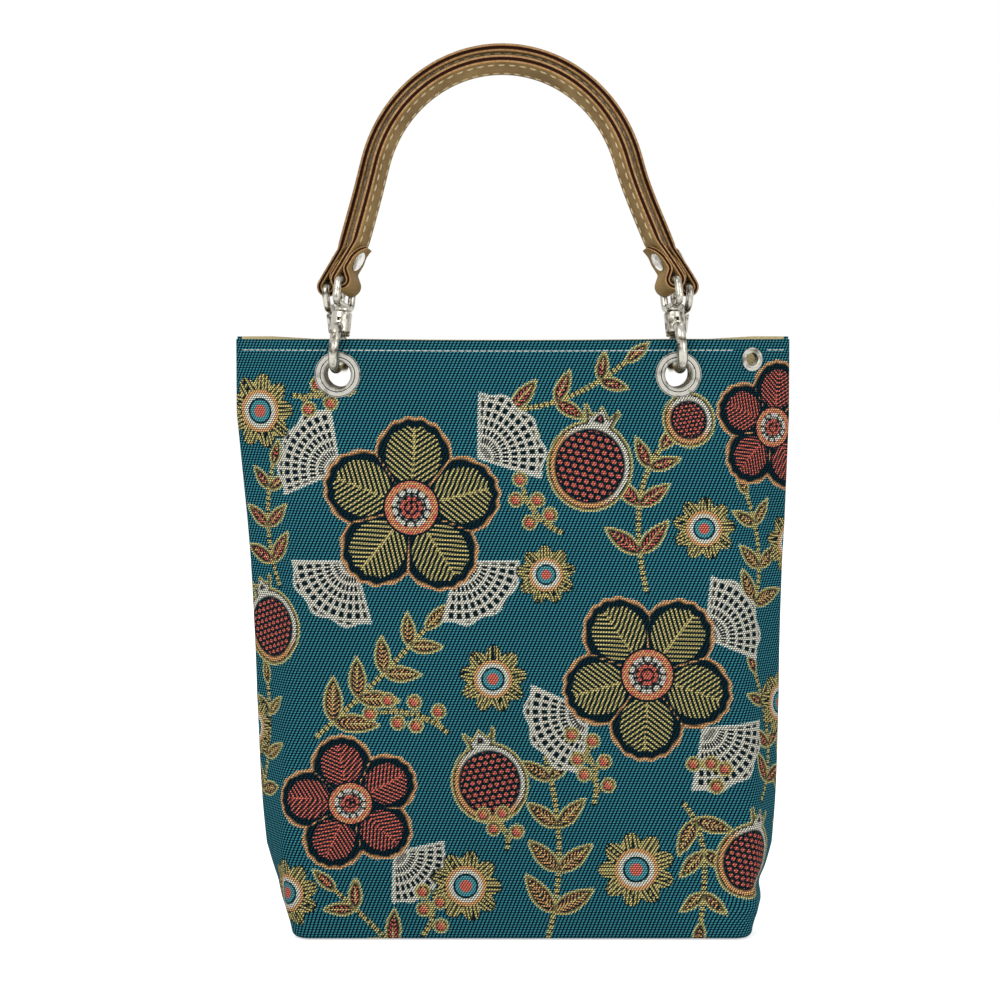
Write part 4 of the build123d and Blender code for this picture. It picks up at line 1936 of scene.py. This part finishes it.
    def rounded(
        self, before: Vector, corner: Vector, after: Vector, radius: float, count: int
    ) -> list[Vector]:
        """Round one corner of the strap's line.

        Args:
            before: Corner before.
            corner: The corner.
            after: Corner after.
            radius: Radius of the round.
            count: Steps round it.

        Returns:
            Points from one tangent to the other.
        """
        back, on = (before - corner).normalized(), (after - corner).normalized()
        half = math.acos(max(-1.0, min(1.0, back.dot(on)))) / 2
        centre = corner + (back + on).normalized() * (radius / math.sin(half))
        start = corner + back * (radius / math.tan(half)) - centre
        end = corner + on * (radius / math.tan(half)) - centre
        sweep = math.pi - 2 * half
        way = 1 if start.cross(end) > 0 else -1
        found = []
        for i in range(count + 1):
            angle = way * sweep * i / count
            cos, sin = math.cos(angle), math.sin(angle)
            found.append(centre + Vector((start.x * cos - start.y * sin, start.x * sin + start.y * cos)))
        return found

    def placed(self, x: float, y: float, z: float) -> Vector:
        """Carry a point of the handle to its place on the bag.

        Args:
            x: Place across.
            y: Place deep.
            z: Place up from the pivot.

        Returns:
            Its place in metres.
        """
        depth = (self.slant @ Vector((0, 0, self.ring_bar_height * math.cos(math.radians(self.tilt))))).y
        turn = Matrix.Rotation(math.radians(self.face.value * self.lean), 3, "X")
        spot = Vector((self.shift, self.face.value * self.wall_middle, self.pivot_height))
        return (spot + turn @ Vector((x, y + depth, z))) * MM

    def strip(self, low: float, high: float) -> "StrapMap":
        """Trace both edges of a ply.

        Args:
            low: Inset of the first face.
            high: Inset of the second face.

        Returns:
            The map of the ply.
        """
        near, far = (
            list(zip(self.line(y, low), self.line(y, high))) for y in (-self.span / 2, self.span / 2)
        )
        return StrapMap(self, near, far)

    def tip_width(self, row: int, rows: int) -> float:
        """Share of the width that the strap has, which narrows at the flap ends."""
        ahead = min(1.0, min(row, rows - 1 - row) / self.tip_rows)
        return self.tip_share + (1 - self.tip_share) * ahead**self.tip_power

    def fullness(self, row: int, rows: int) -> float:
        """Thickness of a row against the ends, which are pressed flat by the rivets."""
        ahead = (min(row, rows - 1 - row) - self.swell_from_row) / self.swell_rows
        return 1 + self.swell * smooth(ahead)

    def drawn(self, x: float, z: float) -> float:
        """Place across of a strap point: the arch is drawn in above the rings and leans left."""
        share = smooth((z - self.ring_bar_height - self.draw_from) / self.draw_rise)
        return x * (1 - self.draw_in * share) - self.draw_over * share

    def profile(self) -> list[tuple[float, float, float]]:
        """Trace the section of a ply, with rounded edges.

        Returns:
            Millimetres across, share of the thickness and one on the cut edge, all the way round.
        """
        half, curve = self.width / 2, self.edge_round
        found = [(share * (half - curve), 0.0, 0.0) for share in self.flat_shares]
        bends = [math.pi / 2 * i / self.edge_steps for i in range(self.edge_steps + 1)]
        for angle in bends[1:]:
            depth = curve / self.ply * (1 - math.cos(angle))
            found.append((half - curve + curve * math.sin(angle), depth, float(angle == bends[-1])))
        found.append((half, 0.5, 1.0))
        for angle in bends[:-1]:
            depth = 1 - curve / self.ply * (1 - math.sin(angle))
            found.append((half - curve + curve * math.cos(angle), depth, float(angle == bends[0])))
        found += [(-across, 1 - share, rim) for across, share, rim in found]
        return [*found, found[0]]

    def layer(self, name: str, low: float, high: float, material: bpy.types.Material) -> bpy.types.Object:
        """Make one ply of the strap.

        Args:
            name: Name of the piece.
            low: Inset of the first face.
            high: Inset of the second face.
            material: The leather.

        Returns:
            The ply.
        """
        at = self.strip(low, high)
        joint = 0.0 if low == 0.0 else 1.0
        profile = self.profile()
        bend_from = self.width / 2 - self.edge_round - self.groove_slip
        rows = len(at.near_edge)
        points = np.zeros((rows, len(profile), 3))
        labels, depths = np.zeros_like(points), np.zeros_like(points)
        middle = [at.point(row, 0.0, 0.5) for row in range(rows)]
        walked = 0.0
        for row in range(rows):
            walked += (middle[row] - middle[row - 1]).length / MM if row else 0.0
            taper, fullness = self.tip_width(row, rows), self.fullness(row, rows)
            for column, (across, share, rim) in enumerate(profile):
                depth = abs(share - joint)
                groove = depth < self.groove_share and abs(across) > bend_from
                points[row, column] = at.point(row, across * taper, joint + (share - joint) * fullness)
                labels[row, column] = (walked, across * taper, max(rim, float(groove)))
                depths[row, column] = depth
        mesh = sheet_mesh(points, {"place": labels, "depth": depths})
        bmesh.ops.holes_fill(mesh, edges=[e for e in mesh.edges if e.is_boundary], sides=0)
        bmesh.ops.recalc_face_normals(mesh, faces=mesh.faces)
        piece = new_piece(name, mesh, material)
        self.label(piece)
        return piece

    def label(self, piece: bpy.types.Object) -> None:
        """Join the strap's place and depth into the attribute that the leather reads.

        Args:
            piece: The ply.
        """
        count = len(piece.data.vertices)
        place, depth = np.zeros(count * 3), np.zeros(count * 3)
        piece.data.attributes["place"].data.foreach_get("vector", place)
        piece.data.attributes["depth"].data.foreach_get("vector", depth)
        rows = np.concatenate([place.reshape(-1, 3), depth.reshape(-1, 3)[:, :1]], axis=1)
        layer = piece.data.attributes.new("strap", "FLOAT_COLOR", "POINT")
        layer.data.foreach_set("color", rows.astype(np.float32).ravel())
        for name in ("place", "depth"):
            piece.data.attributes.remove(piece.data.attributes[name])

    def stitches(self, name: str, material: bpy.types.Material) -> bpy.types.Object:
        """Sew both faces of the strap along both edges.

        Args:
            name: Name of the piece.
            material: The thread.

        Returns:
            The stitches.
        """
        at = self.strip(-self.ply, self.ply)
        mesh = bmesh.new()
        rows = len(at.near_edge)
        for share in (0.0, 1.0):
            for way in (-1, 1):
                across = way * (self.width / 2 - self.stitch_inset)
                path, rises = [], []
                for row in range(self.stitch_from_row, rows - self.stitch_from_row):
                    full = 0.5 + (share - 0.5) * self.fullness(row, rows)
                    path.append(at.point(row, across, full))
                    rises.append(path[-1] - at.point(row, across, 0.5))
                self.sewing.sew(mesh, path, rises)
        return new_piece(name, mesh, material)

    def build(self) -> list[bpy.types.Object]:
        """Make and dress the handle.

        Returns:
            Its pieces.
        """
        side = self.face.name.lower()
        leather = Leather().material()
        thread = Thread("pale_thread", tone(226, 208, 166), tone(184, 164, 122)).material()
        outer = self.layer(side + "_outer_ply", -self.ply, 0.0, leather)
        inner = self.layer(side + "_inner_ply", 0.0, self.ply, leather)
        sewing = self.stitches(side + "_strap_stitches", thread)
        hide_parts(side + "_strap_outer")
        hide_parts(side + "_strap_inner")
        for piece, slot in ((outer, "leather"), (inner, "leather_inner"), (sewing, "leather_inner")):
            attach(piece, side + "_handle")
        return [outer, inner, sewing]


@dataclass(frozen=True)
class StrapMap:
    """Places of one ply by row, millimetres across and share of its thickness."""

    handle: Handle
    near_edge: list[tuple[Vector, Vector]]
    far_edge: list[tuple[Vector, Vector]]

    def point(self, row: int, across: float, share: float) -> Vector:
        """Find one point of the ply.

        Args:
            row: Row along the strap.
            across: Millimetres from the middle.
            share: Share of the thickness from the first face.

        Returns:
            Its place on the bag, in metres.
        """
        beside = across / self.handle.width + 0.5
        near = self.near_edge[row][0].lerp(self.near_edge[row][1], share)
        far = self.far_edge[row][0].lerp(self.far_edge[row][1], share)
        spot = near.lerp(far, beside)
        x = self.handle.drawn(spot.x, spot.y)
        return self.handle.placed(x, (beside - 0.5) * self.handle.span, spot.y)


# Metal parts


@dataclass
class MetalParts:
    """Finishes of the hooks, gates, rings, eyelets and rivets."""

    nickel: CastMetal = CastMetal("cast_nickel", tone(192, 188, 176), tone(74, 68, 56), 0.26)
    plate: CastMetal = CastMetal("rivet_nickel", tone(214, 212, 206), tone(120, 116, 106), 0.3, 300.0)
    # Painted shade: a darker copy of the rivet nickel for the charm eyelet, standing in for the shadow in
    # and round its hole.
    charm: CastMetal = CastMetal("shaded_charm_nickel", tone(176, 174, 164), tone(92, 88, 78), 0.3, 300.0)
    spring: CastMetal = CastMetal("spring_steel", tone(150, 150, 150), tone(90, 90, 92), 0.35)
    eyelet: EyeletMetal = EyeletMetal()

    def build(self) -> list[bpy.types.Object]:
        """Dress the solid parts.

        Returns:
            The dressed parts.
        """
        nickel, plate = self.nickel.material(), self.plate.material()
        charm, spring, eyelet = self.charm.material(), self.spring.material(), self.eyelet.material()
        finishes = {
            "_spring": spring,
            "_washer": plate,
            "_eyelet": eyelet,
            "_rivet_cap": plate,
            "_rivet_post": plate,
            "_ring": nickel,
            "_hook": nickel,
            "_gate": nickel,
            "_gate_pin": nickel,
        }
        dressed = []
        for name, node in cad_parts.items():
            found = [material for ending, material in finishes.items() if name.endswith(ending)]
            if not found:
                continue
            for slot in node.material_slots:
                # Charm parts take the darker copy of the nickel, which is painted shade.
                slot.material = charm if name.startswith("charm") else found[0]
            dressed.append(node)
        return dressed


# Studio


@dataclass(frozen=True)
class Lamp:
    """Soft lamp that points at the bag, in metres and watts."""

    name: str
    spot: tuple[float, float, float]
    power: float
    size: float = 1.2
    aim_height: float = 0.2

    def hang(self) -> None:
        """Add the lamp to the scene."""
        data = bpy.data.lights.new(self.name, "AREA")
        data.energy = self.power
        data.size = self.size
        lamp = bpy.data.objects.new(self.name, data)
        lamp.location = self.spot
        way = Vector((0, 0, self.aim_height)) - Vector(self.spot)
        lamp.rotation_euler = way.to_track_quat("-Z", "Y").to_euler()
        bpy.context.scene.collection.objects.link(lamp)


@dataclass
class Studio:
    """Pale floor, soft lights and the camera, in metres."""

    middle_x: float = -0.0062
    aim_height: float = 0.2112
    camera_height: float = 0.3
    camera_distance: float = 1.34
    near_face: float = -0.01
    view_width: float = 0.4816
    sensor: float = 36.0
    white: Colour = (1.0, 1.0, 1.0, 1.0)
    fill: float = 0.55
    floor_paint: Colour = (0.86, 0.86, 0.86, 1.0)
    floor_glow: float = 0.58
    floor_half: float = 6.0
    floor_drop: float = 0.0006
    lamps: tuple[Lamp, ...] = (
        Lamp("key_lamp", (-0.9, -1.5, 1.5), 20.0),
        Lamp("fill_lamp", (1.2, -1.4, 0.8), 9.0),
        Lamp("back_lamp", (0.3, 1.3, 1.4), 9.0),
    )

    def camera(self) -> None:
        """Stand the camera at the photograph's place."""
        data = bpy.data.cameras.new("camera")
        camera = bpy.data.objects.new("camera", data)
        bpy.context.scene.collection.objects.link(camera)
        spot = Vector((self.middle_x, self.near_face - self.camera_distance, self.camera_height))
        aim = Vector((self.middle_x, self.near_face, self.aim_height))
        camera.location = spot
        camera.rotation_euler = (aim - spot).to_track_quat("-Z", "Y").to_euler()
        data.sensor_width = self.sensor
        data.lens = self.sensor * (aim - spot).length / self.view_width
        bpy.context.scene.camera = camera

    def shown(self, sheet: NodeSheet) -> Sock:
        """Tell which rays show the background.

        Args:
            sheet: Sheet that the nodes go on.

        Returns:
            One for those rays, else nought.
        """
        path = sheet.add("ShaderNodeLightPath")
        rays = [sheet.out(path, name) for name in ("Is Camera Ray", "Is Glossy Ray", "Is Transmission Ray")]
        return (rays[0] + rays[1] + rays[2]).least(1.0)

    def world(self) -> None:
        """White background with plain light all round."""
        world = bpy.data.worlds.new("studio")
        world.use_nodes = True
        bpy.context.scene.world = world
        sheet = NodeSheet(world.node_tree)
        fill = sheet.add("ShaderNodeBackground", None, {"Color": self.white, "Strength": self.fill})
        white = sheet.add("ShaderNodeBackground", None, {"Color": self.white, "Strength": 1.0})
        sockets = {0: self.shown(sheet), 1: sheet.out(fill), 2: sheet.out(white)}
        mixed = sheet.add("ShaderNodeMixShader", None, sockets)
        sheet.add("ShaderNodeOutputWorld", None, {"Surface": sheet.out(mixed)})

    def floor(self) -> None:
        """Lay the pale floor."""
        material, sheet = new_material("pale_floor")
        paint = sheet.add("ShaderNodeBsdfDiffuse", None, {"Color": self.floor_paint})
        glow = sheet.add("ShaderNodeEmission", None, {"Color": self.white, "Strength": self.floor_glow})
        lit = sheet.add("ShaderNodeAddShader", None, {0: sheet.out(paint), 1: sheet.out(glow)})
        sockets = {0: self.shown(sheet), 1: sheet.out(paint), 2: sheet.out(lit)}
        mixed = sheet.add("ShaderNodeMixShader", None, sockets)
        sheet.add("ShaderNodeOutputMaterial", None, {"Surface": sheet.out(mixed)})
        mesh = bmesh.new()
        bmesh.ops.create_grid(mesh, x_segments=2, y_segments=2, size=self.floor_half)
        bmesh.ops.translate(mesh, verts=mesh.verts, vec=(0, 0, -self.floor_drop))
        floor = new_piece("floor", mesh, material, smooth=False)

    def build(self) -> None:
        """Set up the whole studio."""
        self.camera()
        self.world()
        self.floor()
        for lamp in self.lamps:
            lamp.hang()
        bpy.context.scene.view_settings.view_transform = "Standard"


def main() -> None:
    """Build every piece in order and report it."""
    logging.basicConfig(level=logging.INFO, format="%(name)s: %(message)s")
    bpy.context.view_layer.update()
    Studio().build()
    handles = (Handle(Face.FRONT, crown_rise=103.8), Handle(Face.BACK, crown_rise=110.3))
    assemblies = (BagBody(), *handles, MetalParts())
    for assembly in assemblies:
        for piece in assembly.build():
            LOG.info("%s: %s", type(assembly).__name__, piece.name)


if __name__ == "__main__":
    main()
